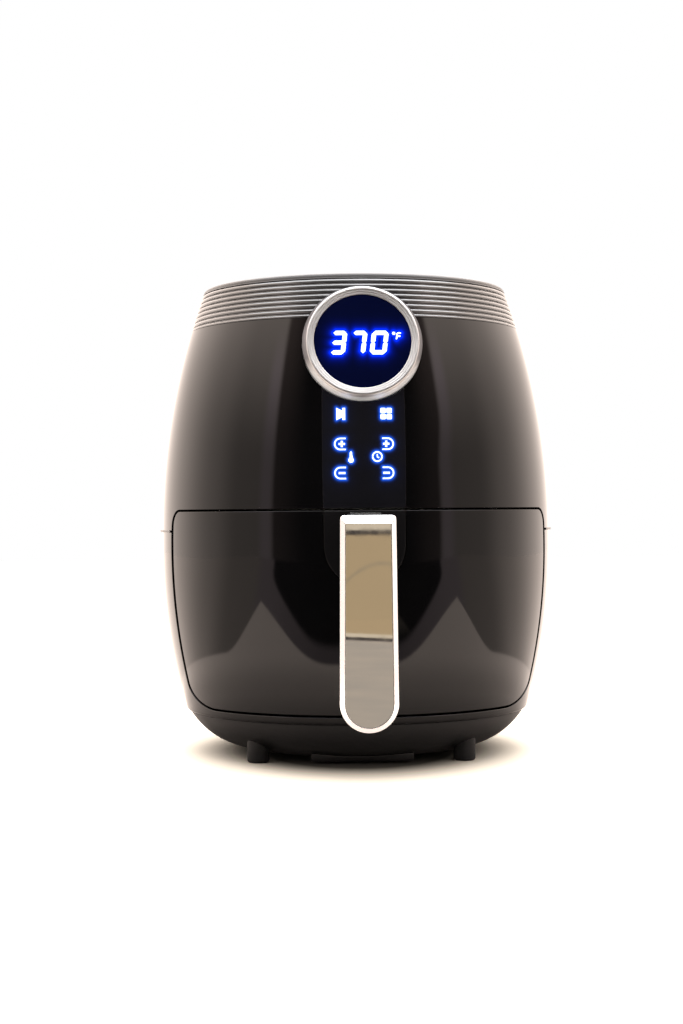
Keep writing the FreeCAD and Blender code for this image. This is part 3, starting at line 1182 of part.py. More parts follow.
def make_rivets():
    rivets = []
    for half, z, front, back in rivet_rows():
        for x in (-half, half):
            shank = cylinder_y(RIVET_RADIUS, front - RIVET_HEAD_HEIGHT, back + RIVET_HEAD_HEIGHT, x, z)
            heads = [cylinder_y(RIVET_HEAD_RADIUS, back, back + RIVET_HEAD_HEIGHT, x, z),
                     cylinder_y(RIVET_HEAD_RADIUS, front - RIVET_HEAD_HEIGHT, front, x, z)]
            rivets.append(fused([shank] + heads))
    return rivets


# ---------------------------------------------------------------- handle bracket and latch

def make_basket_bracket():
    """Bent steel sheet: down behind the insert, over the pan's rim and down inside the basket, with two ears
    for the latch's pin and a window for its lever."""
    half, top = BRACKET_HALF_WIDTH, BRACKET_STRIP_Z + BRACKET_PLATE
    strip = block(-half, half, INSERT_BACK_Y, BRACKET_BACK_Y, BRACKET_STRIP_Z, top)
    front = block(-half, half, INSERT_BACK_Y, INSERT_BACK_Y + BRACKET_PLATE,
                  BRACKET_STRIP_Z - BRACKET_FRONT_HEIGHT, top)
    back = block(-half, half, BRACKET_BACK_Y - BRACKET_PLATE, BRACKET_BACK_Y,
                 BRACKET_STRIP_Z - BRACKET_BACK_HEIGHT, top)
    ear = fused([block(EAR_HALF_GAP, EAR_HALF_GAP + EAR_THICKNESS, INSERT_BACK_Y, PIVOT_Y,
                       PIVOT_Z - EAR_RADIUS, PIVOT_Z + EAR_RADIUS),
                 cylinder_x(EAR_RADIUS, EAR_HALF_GAP, EAR_HALF_GAP + EAR_THICKNESS, PIVOT_Y, PIVOT_Z)])
    body = fused([strip, front, back] + mirrored_pair(ear))
    body = body.cut(lever_window(INSERT_BACK_Y + BRACKET_PLATE))
    body = body.cut(cylinder_x(PIN_RADIUS, -BRACKET_HALF_WIDTH, BRACKET_HALF_WIDTH, PIVOT_Y, PIVOT_Z))
    return cut_rivets(cut_handle_screws(body))


def lever_window(y_high):
    """The room that the latch lever's front arm needs as it dips."""
    side = EAR_HALF_GAP
    low = PIVOT_Z - LEVER_THICKNESS / 2 - BUTTON_TRAVEL - LEVER_ROOM
    high = PIVOT_Z + LEVER_THICKNESS / 2 + LEVER_ROOM
    return block(-side, side, LEVER_TIP_Y - LEVER_END_ROOM, y_high, low, high)


def make_handle_insert():
    """The U-shaped piece of the barrel's surface, flat at its back where the bracket lies."""
    body = barrel(DRAWER_BOTTOM_Z, DRAWER_TOP_Z).common(insert_prism(0, DRAWER_TOP_Z))
    body = body.cut(block(-EVERYWHERE, EVERYWHERE, INSERT_BACK_Y, EVERYWHERE, 0, EVERYWHERE))
    return cut_handle_screws(body.cut(lever_window(0)))


def make_latch_lever():
    """A bell crank: the button presses its front arm, and the hook below swings back off the catch."""
    half = LEVER_HALF_WIDTH
    front_arm = block(-half, half, LEVER_TIP_Y, PIVOT_Y, PIVOT_Z - LEVER_THICKNESS / 2,
                      PIVOT_Z + LEVER_THICKNESS / 2)
    down_arm = block(-half, half, PIVOT_Y - LEVER_THICKNESS / 2, PIVOT_Y + LEVER_THICKNESS / 2,
                     HOOK_BOTTOM_Z, PIVOT_Z)
    hook = block(-half, half, HOOK_TIP_Y, PIVOT_Y, HOOK_BOTTOM_Z, HOOK_BOTTOM_Z + HOOK_HEIGHT)
    hub = cylinder_x(LEVER_THICKNESS, -half, half, PIVOT_Y, PIVOT_Z)
    body = fused([front_arm, down_arm, hook, hub])
    return body.cut(cylinder_x(PIN_RADIUS + PIN_FIT, -half - 1, half + 1, PIVOT_Y, PIVOT_Z))


def make_latch_pin():
    reach = EAR_HALF_GAP + EAR_THICKNESS + PIN_END
    return cylinder_x(PIN_RADIUS, -reach, reach, PIVOT_Y, PIVOT_Z)


# ---------------------------------------------------------------- handle

def cut_handle_screws(body):
    for x in (-HANDLE_SCREW_X, HANDLE_SCREW_X):
        body = body.cut(cylinder_y(SCREW_RADIUS, HANDLE_SCREW_TIP_Y, 0, x, HANDLE_SCREW_Z))
    return body


def make_handle_screw(x):
    head_y = INSERT_BACK_Y + BRACKET_PLATE
    return fused([cylinder_y(SCREW_RADIUS, HANDLE_SCREW_TIP_Y, head_y + 1, x, HANDLE_SCREW_Z),
                  cylinder_y(SCREW_HEAD_RADIUS, head_y, head_y + SCREW_HEAD_HEIGHT, x, HANDLE_SCREW_Z)])


def button_top():
    return HANDLE_TOP_Z - BUTTON_SINK


def well_floor():
    return HANDLE_TOP_Z - BUTTON_WELL_DEPTH


def guard_back_y():
    return BUTTON_Y + GUARD_LENGTH / 2


def make_handle_body():
    """The bar and the arm that joins it to the insert, hollowed for the button, the lever and the guard."""
    bar = handle_slab(0, BAR_FRONT_Y, BAR_BACK_Y)
    arm = block(-ARM_HALF_WIDTH, ARM_HALF_WIDTH, BAR_FRONT_Y + 2, INSERT_BACK_Y, ARM_BOTTOM_Z, HANDLE_TOP_Z)
    body = fused([bar, arm.cut(barrel(ARM_BOTTOM_Z - PAST, HANDLE_TOP_Z + PAST))])
    side, length = BUTTON_HALF_WIDTH + MOVE_GAP, BUTTON_HALF_LENGTH + MOVE_GAP
    body = body.cut(block(-side, side, BUTTON_Y - length, BUTTON_Y + length, well_floor(), HANDLE_TOP_Z + 1))
    body = body.cut(cylinder(BUTTON_STEM_RADIUS + SNUG, PIVOT_Z, HANDLE_TOP_Z, 0, BUTTON_Y))
    body = body.cut(lever_window(0))
    groove = block(GUARD_HALF_WIDTH - GUARD_LEG_WIDTH - GUARD_GAP, GUARD_HALF_WIDTH + GUARD_GAP,
                   guard_back_y() - GUARD_LENGTH - GUARD_TRAVEL - GUARD_GAP, guard_back_y() + GUARD_GAP,
                   HANDLE_TOP_Z - GUARD_LEG - GUARD_GAP, HANDLE_TOP_Z + 1)
    for piece in mirrored_pair(groove):
        body = body.cut(piece)
    return cut_handle_screws(body)


def make_handle_rim():
    y_low = BAR_FRONT_Y - RIM_THICKNESS
    return handle_slab(0, y_low, BAR_FRONT_Y).cut(handle_slab(RIM_WIDTH, y_low - 1, BAR_FRONT_Y + 1))


def make_handle_plate():
    return handle_slab(RIM_WIDTH + SNUG, BAR_FRONT_Y - RIM_THICKNESS + PLATE_SINK, BAR_FRONT_Y)


def make_release_button():
    cap = block(-BUTTON_HALF_WIDTH, BUTTON_HALF_WIDTH, BUTTON_Y - BUTTON_HALF_LENGTH,
                BUTTON_Y + BUTTON_HALF_LENGTH, button_top() - BUTTON_THICKNESS, button_top())
    cap = cap.makeFillet(BUTTON_CORNER, edges_along(cap, Z_AXIS))
    stem_low = PIVOT_Z + LEVER_THICKNESS / 2 + MOVE_GAP
    return fused([cap, cylinder(BUTTON_STEM_RADIUS, stem_low, button_top() - 1, 0, BUTTON_Y)])


def make_button_spring():
    """A helix between the well's floor and the button's cap."""
    low, high = well_floor() + SPRING_SEAT, button_top() - BUTTON_THICKNESS - SPRING_SEAT
    height = high - low - 2 * SPRING_WIRE_RADIUS
    start = V(SPRING_RADIUS, 0, 0)
    helix = Part.makeHelix(height / SPRING_TURNS, height, SPRING_RADIUS)
    section = Part.Wire([Part.Circle(start, Y_AXIS, SPRING_WIRE_RADIUS).toShape()])
    spring = Part.Wire(helix.Edges).makePipeShell([section], True, True)
    spring.translate(V(0, BUTTON_Y, low + SPRING_WIRE_RADIUS))
    return spring


def make_button_guard():
    low = HANDLE_TOP_Z + GUARD_GAP
    back = guard_back_y()
    plate = block(-GUARD_HALF_WIDTH, GUARD_HALF_WIDTH, back - GUARD_LENGTH, back, low, low + GUARD_THICKNESS)
    plate = plate.makeFillet(GUARD_CORNER, edges_along(plate, Z_AXIS))
    leg = block(GUARD_HALF_WIDTH - GUARD_LEG_WIDTH, GUARD_HALF_WIDTH, back - GUARD_LENGTH + 1, back - 1,
                HANDLE_TOP_Z - GUARD_LEG, low + GUARD_THICKNESS / 2)
    return fused([plate] + mirrored_pair(leg))


# ---------------------------------------------------------------- every piece, by name

def make_pieces():
    """Name of each sub-part to its solids."""
    places = foot_places()
    return {
        "lower_housing": [make_lower_housing()],
        "upper_housing": [make_upper_housing()],
        "seam_ring": [make_seam_ring()],
        "ribbed_band": [make_ribbed_band()],
        "top_cover": [make_top_cover()],
        "display_ring": [make_display_ring()],
        "display_lens": [make_display_lens()],
        "digit_module": [make_digit_module()],
        "display_board": [make_display_board()],
        "touch_panel": [make_touch_panel()],
        "touch_foil": [make_touch_foil()],
        "base": [make_base()],
        "feet": [make_foot(x, y) for x, y in places],
        "foot_screws": [make_foot_screw(x, y) for x, y in places],
        "base_deck": [make_base_deck()],
        "bay_tray": [make_bay_tray()],
        "bay_frame": [make_bay_frame()],
        "drawer_rails": mirrored_pair(make_drawer_rail()),
        "chamber_liner": [make_chamber_liner()],
        "chamber_deck": [make_chamber_deck()],
        "heating_element": [make_heating_element()],
        "heater_clips": turned_copies(make_heater_clip(), CLIP_COUNT, start=90, step=90),
        "hot_air_fan": [make_hot_air_fan()],
        "motor_shaft": [cylinder(SHAFT_RADIUS, SHAFT_BOTTOM_Z, SHAFT_TOP_Z)],
        "heat_shield": [make_heat_shield()],
        "motor_posts": [make_motor_post(x, y) for x, y in post_places()],
        "motor_brackets": [make_motor_bracket(z) for z in (LOWER_BRACKET_Z, UPPER_BRACKET_Z)],
        "shaft_bearings": [make_shaft_bearing(z) for z in (LOWER_BRACKET_Z, UPPER_BRACKET_Z)],
        "motor_stator": [make_motor_stator()],
        "motor_winding": [make_motor_winding()],
        "motor_rotor": [make_motor_rotor()],
        "cooling_fan": [make_cooling_fan()],
        "fan_nut": [make_fan_nut()],
        "exhaust_duct": [make_exhaust_duct()],
        "vent_hood": [make_vent_hood()],
        "cord_gland": [make_cord_gland()],
        "power_board": [make_power_board()],
        "board_standoffs": make_board_standoffs(),
        "board_parts": make_board_parts(),
        "temperature_sensor": [make_temperature_sensor()],
        "thermal_fuse": [make_thermal_fuse()],
        "drawer_switch": [make_drawer_switch()],
        "switch_plunger": [make_switch_plunger()],
        "drawer_front": [make_drawer_front()],
        "inner_panel": [make_inner_panel()],
        "pan": [make_pan()],
        "rivets": make_rivets(),
        "basket": [make_basket()],
        "basket_pads": make_basket_pads(),
        "basket_bracket": [make_basket_bracket()],
        "handle_insert": [make_handle_insert()],
        "latch_lever": [make_latch_lever()],
        "latch_pin": [make_latch_pin()],
        "release_button": [make_release_button()],
        "button_spring": [make_button_spring()],
        "button_guard": [make_button_guard()],
        "handle_body": [make_handle_body()],
        "handle_rim": [make_handle_rim()],
        "handle_plate": [make_handle_plate()],
        "handle_screws": [make_handle_screw(x) for x in (-HANDLE_SCREW_X, HANDLE_SCREW_X)],
    }


def centre_shift():
    """How far the barrel's axis lies behind the middle of the object's depth."""
    back = gland_collar_faces()[1] + GLAND_TAIL
    return (HANDLE_FRONT - back) / 2


def write_pieces():
    os.makedirs("parts", exist_ok=True)
    for name, solids in make_pieces().items():
        flat = [solid for piece in solids for solid in piece.Solids]
        shape = flat[0] if len(flat) == 1 else Part.makeCompound(flat)
        shape = shape.copy()
        shape.translate(V(0, centre_shift(), 0))
        shape.exportStep("parts/" + name + ".step")
        print(name, len(solids), len(flat), shape.isValid(), round(shape.Volume))


write_pieces()
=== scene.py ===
# %% [markdown]
# # Dressing a countertop air fryer
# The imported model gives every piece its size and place. This lesson builds the visible skin of the
# appliance over it, one piece at a time, the way a modeller would work by hand: trace an outline,
# extrude, bevel, cut, and bend. Each step first says what the piece is on the real object.

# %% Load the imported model
import json
import math

import bmesh
import bpy
import numpy as np
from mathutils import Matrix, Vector

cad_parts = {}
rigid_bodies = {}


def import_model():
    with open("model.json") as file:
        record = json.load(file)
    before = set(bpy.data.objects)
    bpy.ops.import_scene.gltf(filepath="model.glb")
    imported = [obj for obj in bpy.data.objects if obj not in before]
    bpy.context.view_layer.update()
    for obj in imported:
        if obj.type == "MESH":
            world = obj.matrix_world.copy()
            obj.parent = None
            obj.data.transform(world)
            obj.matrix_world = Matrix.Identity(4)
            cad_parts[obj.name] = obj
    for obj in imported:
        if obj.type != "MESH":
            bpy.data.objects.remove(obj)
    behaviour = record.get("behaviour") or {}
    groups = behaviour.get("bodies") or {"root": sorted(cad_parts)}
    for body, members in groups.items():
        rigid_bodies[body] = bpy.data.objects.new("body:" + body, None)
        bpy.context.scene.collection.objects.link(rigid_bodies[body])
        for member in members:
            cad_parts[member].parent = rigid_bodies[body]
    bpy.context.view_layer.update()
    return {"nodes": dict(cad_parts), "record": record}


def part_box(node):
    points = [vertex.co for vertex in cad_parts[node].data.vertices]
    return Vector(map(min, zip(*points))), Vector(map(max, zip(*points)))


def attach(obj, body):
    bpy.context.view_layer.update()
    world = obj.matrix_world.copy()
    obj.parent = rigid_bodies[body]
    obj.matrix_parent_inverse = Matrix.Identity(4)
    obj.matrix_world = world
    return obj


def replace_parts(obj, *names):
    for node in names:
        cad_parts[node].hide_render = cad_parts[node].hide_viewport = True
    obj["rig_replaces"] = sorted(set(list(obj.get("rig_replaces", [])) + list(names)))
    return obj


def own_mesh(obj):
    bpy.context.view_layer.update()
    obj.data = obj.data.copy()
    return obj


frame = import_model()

# %% [markdown]
# ## Measures that many pieces share
# The body is a barrel: an arc below its belly, a short straight belly, and a flatter arc above it.
# One small function gives its radius at any height, so every shell can follow the same curve.

# %% The barrel
BELLY = 0.144                          # the barrel's widest radius
BELLY_LOW, BELLY_HIGH = 0.150, 0.160   # where its straight middle starts and ends
LOWER_ARC, UPPER_ARC = 0.411, 0.516    # the radii of the arcs below and above
GIRTH = 2 * math.pi * BELLY            # the length of a flat board before it is rolled
HALF_GIRTH = GIRTH / 2
cover_low, cover_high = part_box("top_cover")
AXIS_Y = (cover_low.y + cover_high.y) / 2


def barrel_radius(z):
    drop, rise = np.maximum(BELLY_LOW - z, 0), np.maximum(z - BELLY_HIGH, 0)
    return (BELLY - LOWER_ARC + np.sqrt(LOWER_ARC ** 2 - drop ** 2)
            - UPPER_ARC + np.sqrt(UPPER_ARC ** 2 - rise ** 2))


def barrel_slope(z):
    """How fast the radius grows with height."""
    drop, rise = np.maximum(BELLY_LOW - z, 0), np.maximum(z - BELLY_HIGH, 0)
    return drop / np.sqrt(LOWER_ARC ** 2 - drop ** 2) - rise / np.sqrt(UPPER_ARC ** 2 - rise ** 2)


def radius_at(z):
    """The barrel's radius at a single height."""
    return float(barrel_radius(z))


def height(node, top=True):
    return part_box(node)[1 if top else 0].z


BASE_TOP = 0.031
SEAM_LOW, SEAM_HIGH = height("seam_ring", False), height("seam_ring")
BAND_LOW, BAND_HIGH = height("ribbed_band", False), 0.3366
TOP = height("top_cover")
DRAWER_LOW, DRAWER_HIGH = height("drawer_front", False), height("drawer_front")
print("axis at y", round(AXIS_Y, 5), "seam", SEAM_LOW, SEAM_HIGH, "band", BAND_LOW, "top", TOP)
print("drawer from", DRAWER_LOW, "to", DRAWER_HIGH)

# %% [markdown]
# ## The camera
# The appliance is seen from straight ahead and level with the seam, from about 1.3 metres, a little
# to its left. A long lens keeps the barrel's sides from bulging. The camera is turned by its Euler
# angles: 90 degrees about X makes it level.

# %% The camera
CAMERA_DISTANCE = 1.322
CAMERA_SIDE = math.radians(2.5)        # how far it stands to the object's left
CAMERA_HEIGHT = 0.177
CAMERA_YAW = math.radians(0.45)
CAMERA_ROLL = math.radians(0.41)
CAMERA_DIP = math.radians(0.04)
CAMERA_LENS = 62.1
bpy.ops.object.select_all(action="DESELECT")
bpy.ops.object.camera_add(location=(-CAMERA_DISTANCE * math.sin(CAMERA_SIDE),
                                    AXIS_Y - CAMERA_DISTANCE * math.cos(CAMERA_SIDE), CAMERA_HEIGHT))
camera = bpy.context.object
camera.name = "camera"
camera.rotation_euler = (math.pi / 2 - CAMERA_DIP, CAMERA_ROLL, -CAMERA_SIDE + CAMERA_YAW)
camera.data.lens = CAMERA_LENS
camera.data.clip_end = 50.0
bpy.context.scene.camera = camera
bpy.context.scene.view_settings.view_transform = "Standard"
print("camera at", [round(v, 3) for v in camera.location])

# %% [markdown]
# ## Building materials from nodes
# A material is a small graph of nodes. Written out one node at a time it takes pages, so one helper
# makes a node, fills it in and links it in a line. A value may be a plain number or another node's
# output, so arithmetic on nodes reads like arithmetic on numbers.

# %% A node in one line
def add_node(tree, kind, **values):
    """A node with its settings and sockets filled in; i0, i1 and so on name a socket by its index."""
    node = tree.nodes.new("ShaderNode" + kind)
    for name, value in values.items():
        if hasattr(node, name):
            setattr(node, name, value)
            continue
        by_index = name[0] == "i" and name[1:].isdigit()
        socket = node.inputs[int(name[1:]) if by_index else name.replace("_", " ")]
        if isinstance(value, bpy.types.NodeSocket):
            tree.links.new(value, socket)
        else:
            socket.default_value = value
    return node


def calculate(tree, operation, first, second=0.0, third=0.0):
    return add_node(tree, "Math", operation=operation, i0=first, i1=second, i2=third).outputs[0]


# %% [markdown]
# ## Ramps, mixes and noise
# All the looks below are built from a few things: soft steps and straight ranges of a value, a mix
# of two colours, a tint, a length, and a noise whose scale is per metre.

# %% Ramps, mixes and noise
def step_between(tree, value, low, high):
    """0 at low, 1 at high, level beyond them, and smooth between them; low may be the larger."""
    return add_node(tree, "MapRange", interpolation_type="SMOOTHSTEP", Value=value,
                    From_Min=low, From_Max=high).outputs["Result"]


def between(tree, value, rise, fall):
    """1 where a value lies between two soft limits, each given by where it starts and ends."""
    return calculate(tree, "MULTIPLY", step_between(tree, value, *rise), step_between(tree, value, *fall))


def spread(tree, value, low, high, start=0.3, end=0.7):
    """Maps the range from start to end, by default the middle of a noise's, to low and high."""
    return add_node(tree, "MapRange", Value=value, From_Min=start, From_Max=end,
                    To_Min=low, To_Max=high).outputs["Result"]


def mix_colours(tree, factor, first, second):
    node = add_node(tree, "Mix", data_type="RGBA", Factor=factor)
    for index, value in ((6, first), (7, second)):
        if isinstance(value, bpy.types.NodeSocket):
            tree.links.new(value, node.inputs[index])
        else:
            node.inputs[index].default_value = value
    return node.outputs[2]


def tinted(tree, level, tint):
    """A tint times a level that is worked out by nodes."""
    return add_node(tree, "VectorMath", operation="SCALE", i0=tint[:3], Scale=level).outputs[0]


def length_of(tree, across, along):
    """The length of a flat vector."""
    flat = add_node(tree, "CombineXYZ", X=across, Y=along).outputs[0]
    return add_node(tree, "VectorMath", operation="LENGTH", i0=flat).outputs["Value"]


def grain(tree, place, scale, detail=3.0, stretch=(1, 1, 1)):
    """Noise of about 1/scale metres, stretched by the Mapping node."""
    mapped = add_node(tree, "Mapping", Vector=place, Scale=stretch).outputs[0]
    noise = add_node(tree, "TexNoise", Vector=mapped, Scale=scale, Detail=detail, Roughness=0.5)
    return noise.outputs["Fac"]


# %% [markdown]
# ## Directions in the studio
# A gloss black body shows only what it reflects, so the room matters more than the lamps. The room
# and the floor are both painted by direction as the object sees them: the turn to the side of
# straight ahead, in degrees, and the rise above level. Both grow brighter to the sides and the back.

# %% Directions and colours
WARM = (1.0, 0.85, 0.76, 1.0)
BROWN = (1.0, 0.74, 0.66, 1.0)
BLUISH = (1.0, 0.82, 0.84, 1.0)
NEARLY_WHITE = (1.0, 0.99, 0.98, 1.0)
WHITE = (1.0, 1.0, 1.0, 1.0)
FRONT_DARK = (0.030, 0.027, 0.027, 1.0)
TAN = (0.41, 0.30, 0.173, 1.0)
DEEP_TAN = (0.25, 0.21, 0.15, 1.0)
PALE_TAN = (0.60, 0.50, 0.37, 1.0)
LINE_DARK = (0.06, 0.05, 0.045, 1.0)
CEILING = (6.3, 6.3, 6.5, 1.0)
SIDE_STEP, SIDE_GAIN = (74.0, 94.0), 0.7
BACK_STEP, BACK_GAIN = (90.0, 125.0), 0.9


def turn_of(tree, across, ahead):
    """How far a direction lies to the side of straight ahead."""
    return calculate(tree, "DEGREES", calculate(tree, "ARCTAN2", across, ahead))


def uneven_turn(tree, turn, bias):
    """The turn to either side, with the right side counted as further round by a bias."""
    return calculate(tree, "MAXIMUM", calculate(tree, "ADD", turn, bias),
                     calculate(tree, "MULTIPLY", turn, -1.0))


def brighter_behind(tree, turn, level):
    """Raises a level at the sides and again at the back."""
    off_axis = calculate(tree, "ABSOLUTE", turn)
    level = calculate(tree, "MULTIPLY_ADD", step_between(tree, off_axis, *SIDE_STEP), SIDE_GAIN, level)
    return calculate(tree, "MULTIPLY_ADD", step_between(tree, off_axis, *BACK_STEP), BACK_GAIN, level)


# %% [markdown]
# ## The room
# The room is pale all round and brighter above. It is dark only in a zone ahead of the object, where
# the camera stands, and that zone turns a little brown towards its sides. A bluish fold of brighter
# cloth hangs just outside it. The ceiling is a large soft light, stronger to the right.

# %% The room's walls and ceiling
ZONE_SIDE, ZONE_TOP = (49.5, 54.0), (40.0, 52.0)
SHOULDER, SHOULDER_SHARE = (30.0, 51.0), 0.22
FOLD_SIDE, FOLD_TOP, FOLD_GAIN = (62.0, 56.0), (36.0, 24.0), 1.25
UPPER_STEP, UPPER_GAIN, BRIGHTEST = (10.0, 40.0), 2.8, 4.0
CEILING_STEP, CEILING_LEVELS, CEILING_SIDES = (44.0, 54.0), (1.0, 1.3), (-0.27, 0.46)
BIAS_STEP, ROOM_BIAS = (20.0, 10.0), 3.5
world = bpy.data.worlds.new("studio")
bpy.context.scene.world = world
world.use_nodes = True
world.cycles.sampling_method = "NONE"
room = world.node_tree
room.nodes.clear()
where = add_node(room, "SeparateXYZ", Vector=add_node(room, "TexCoord").outputs["Generated"]).outputs
turn = turn_of(room, where[0], calculate(room, "MULTIPLY", where[1], -1.0))
rise = calculate(room, "DEGREES", calculate(room, "ARCSINE", where[2]))
level = brighter_behind(room, turn, 1.0)
level = calculate(room, "MULTIPLY_ADD", step_between(room, rise, *UPPER_STEP), UPPER_GAIN, level)
level = calculate(room, "MINIMUM", level, BRIGHTEST)
bias = calculate(room, "MULTIPLY", step_between(room, rise, *BIAS_STEP), ROOM_BIAS)
to_side = uneven_turn(room, turn, bias)
aside, above = step_between(room, to_side, *ZONE_SIDE), step_between(room, rise, *ZONE_TOP)
shoulder = calculate(room, "MULTIPLY", step_between(room, to_side, *SHOULDER), SHOULDER_SHARE)
dark = mix_colours(room, shoulder, FRONT_DARK, tinted(room, level, BROWN))
seen = mix_colours(room, calculate(room, "MAXIMUM", aside, above), dark, tinted(room, level, WARM))
fold = calculate(room, "MULTIPLY", aside, step_between(room, to_side, *FOLD_SIDE))
fold = calculate(room, "MULTIPLY", fold, step_between(room, rise, *FOLD_TOP))
seen = mix_colours(room, fold, seen, tinted(room, calculate(room, "MULTIPLY", level, FOLD_GAIN), BLUISH))
overhead = tinted(room, spread(room, where[0], *CEILING_LEVELS, *CEILING_SIDES), CEILING)
seen = mix_colours(room, step_between(room, rise, *CEILING_STEP), seen, overhead)
print("room nodes:", len(room.nodes))

# %% [markdown]
# ## What the handle's plate mirrors
# The flat plate of the handle looks straight ahead, so it mirrors only a patch a few degrees across
# and just below level: the far edge of a tan table, a dark line, a pale wall, and one faint bowed
# line. They are painted there by rise, and the bow by the square of the turn.

# %% The patch ahead
PATCH_LEFT, PATCH_RIGHT, PATCH_TOP = (-1.5, -0.5), (8.5, 7.5), (1.6, 1.0)
TABLE_EDGE, WALL_FOOT = (-0.83, -0.76), (-0.66, -0.60)
BOW_MIDDLE, BOW_RATE, BOW_LOW, BOW_HIGH = 3.4, 0.4, (-1.80, -1.74), (-1.62, -1.68)
BOW_STRENGTH = 0.5
strip = mix_colours(room, step_between(room, rise, *TABLE_EDGE), TAN, LINE_DARK)
strip = mix_colours(room, step_between(room, rise, *WALL_FOOT), strip, PALE_TAN)
bow = calculate(room, "POWER", calculate(room, "SUBTRACT", turn, BOW_MIDDLE), 2.0)
bow = between(room, calculate(room, "MULTIPLY_ADD", bow, BOW_RATE, rise), BOW_LOW, BOW_HIGH)
strip = mix_colours(room, calculate(room, "MULTIPLY", bow, BOW_STRENGTH), strip, DEEP_TAN)
patch = between(room, turn, PATCH_LEFT, PATCH_RIGHT)
patch = calculate(room, "MULTIPLY", patch, step_between(room, rise, *PATCH_TOP))
seen = mix_colours(room, patch, seen, strip)
print("room nodes with the patch:", len(room.nodes))

# %% [markdown]
# ## Which ray sees what
# Only glossy rays see the painted room. Rays that light matt surfaces see a plain pale sky, a little
# brighter overhead. The camera and clear pieces see plain white.

# %% The room's light
SKY = (0.45, 1.35, 8.0, 62.0)          # the sky's level at the lower rise and at the higher one
rays = add_node(room, "LightPath").outputs
plain = calculate(room, "MAXIMUM", rays["Is Camera Ray"], rays["Is Transmission Ray"])
soft = tinted(room, spread(room, rise, *SKY), NEARLY_WHITE)
colour = mix_colours(room, rays["Is Glossy Ray"], soft, seen)
colour = mix_colours(room, plain, colour, WHITE)
light = add_node(room, "Background", Color=colour)
room.links.new(light.outputs[0], add_node(room, "OutputWorld").inputs["Surface"])
print("room nodes in all:", len(room.nodes))

# %% [markdown]
# ## The floor
# The object stands on pale paper that runs on in front of it. It is one plane.
# Its material holds three looks: a soft shade for the camera, an even pale colour that lights the
# object from below, and for glossy rays the same kind of painted zones as the room has.

# %% The floor's sheet
FLOOR_FRONT = -1.91 + AXIS_Y
FLOOR_SIZE = 7
bpy.ops.object.select_all(action="DESELECT")
bpy.ops.mesh.primitive_plane_add(size=1, location=(0, FLOOR_FRONT + FLOOR_SIZE / 2, 0), scale=(1, 1, 1))
floor = bpy.context.object
floor.name = "floor"
floor.scale = (FLOOR_SIZE, FLOOR_SIZE, 1)
bpy.ops.object.transform_apply(location=True, rotation=False, scale=True)
floor_finish = bpy.data.materials.new("floor_paper")
floor_finish.use_nodes = True
tree = floor_finish.node_tree
tree.nodes.clear()
place = add_node(tree, "TexCoord").outputs["Object"]
parts = add_node(tree, "SeparateXYZ", Vector=place).outputs
ahead = calculate(tree, "SUBTRACT", AXIS_Y, parts[1])
turn = turn_of(tree, parts[0], ahead)
away = length_of(tree, parts[0], ahead)
print("floor reaches from y", round(FLOOR_FRONT, 3))

# %% [markdown]
# ## How the gloss body sees the floor
# Near the object the paper is softly lit. Its bright part ends at a curved outline: a tongue in
# front, whose reach grows with the turn, and a wide sweep at the sides. Past it come a paler band
# and, straight ahead, the dark zone that the room has too, with its corners rounded by a smooth
# minimum.

# %% The floor's painted zones
FLOOR_BIAS = 3.0
NEAR_SHADE = (0.35, 2.0, 0.112, 0.215)                  # two levels, and how far out each one is
HALO_STEP, HALO_GAIN = (0.21, 0.33), 1.1
FRONT_TURN, FRONT_CURVE = 12.0, (2.5, 3.8e-5, 0.285)    # power, rate and start of the outline
SIDE_TURN, SIDE_CURVE = 75.0, (2.35, 2.9e-4, 0.35)
OUTLINE_STEP = (-0.008, 0.008)
BAND_SHADE, BAND_WIDTH = (0.6, 1.0, 15.0, 50.0), (1.2, 1.34, 25.0, 47.0)    # by turn
SIDE_BAND_STEP, SIDE_BAND_LEVEL = (54.0, 60.0), 1.1
ZONE_SLOPE, ZONE_START, ZONE_BLEND, ZONE_STEP = -0.025, 1.2175, 0.9, (-0.02, 0.03)


def curve(tree, value, power, rate, start):
    """A start, and from where the value passes zero, a rate times a power of the value more."""
    positive = calculate(tree, "MAXIMUM", value, 0.0)
    return calculate(tree, "MULTIPLY_ADD", calculate(tree, "POWER", positive, power), rate, start)


around = calculate(tree, "ABSOLUTE", turn)
to_side = uneven_turn(tree, turn, FLOOR_BIAS)
near_level = calculate(tree, "MULTIPLY_ADD", step_between(tree, away, *HALO_STEP), HALO_GAIN,
                       spread(tree, away, *NEAR_SHADE))
front_reach = curve(tree, calculate(tree, "SUBTRACT", to_side, FRONT_TURN), *FRONT_CURVE)
side_reach = curve(tree, calculate(tree, "SUBTRACT", SIDE_TURN, around), *SIDE_CURVE)
reach = calculate(tree, "MINIMUM", front_reach, side_reach)
outside = step_between(tree, calculate(tree, "SUBTRACT", away, reach), *OUTLINE_STEP)
band_width = spread(tree, to_side, *BAND_WIDTH)
past_band = calculate(tree, "SUBTRACT", away, calculate(tree, "MULTIPLY", front_reach, band_width))
zone_edge = calculate(tree, "MULTIPLY_ADD", to_side, ZONE_SLOPE, ZONE_START)
in_zone = step_between(tree, calculate(tree, "SMOOTH_MIN", zone_edge, past_band, ZONE_BLEND), *ZONE_STEP)
band = tinted(tree, spread(tree, to_side, *BAND_SHADE), BLUISH)
band = mix_colours(tree, step_between(tree, around, *SIDE_BAND_STEP), band,
                   tinted(tree, brighter_behind(tree, turn, SIDE_BAND_LEVEL), WARM))
beyond = mix_colours(tree, in_zone, band, FRONT_DARK)
seen = mix_colours(tree, outside, tinted(tree, near_level, WARM), beyond)
print("floor nodes with the zones:", len(tree.nodes))

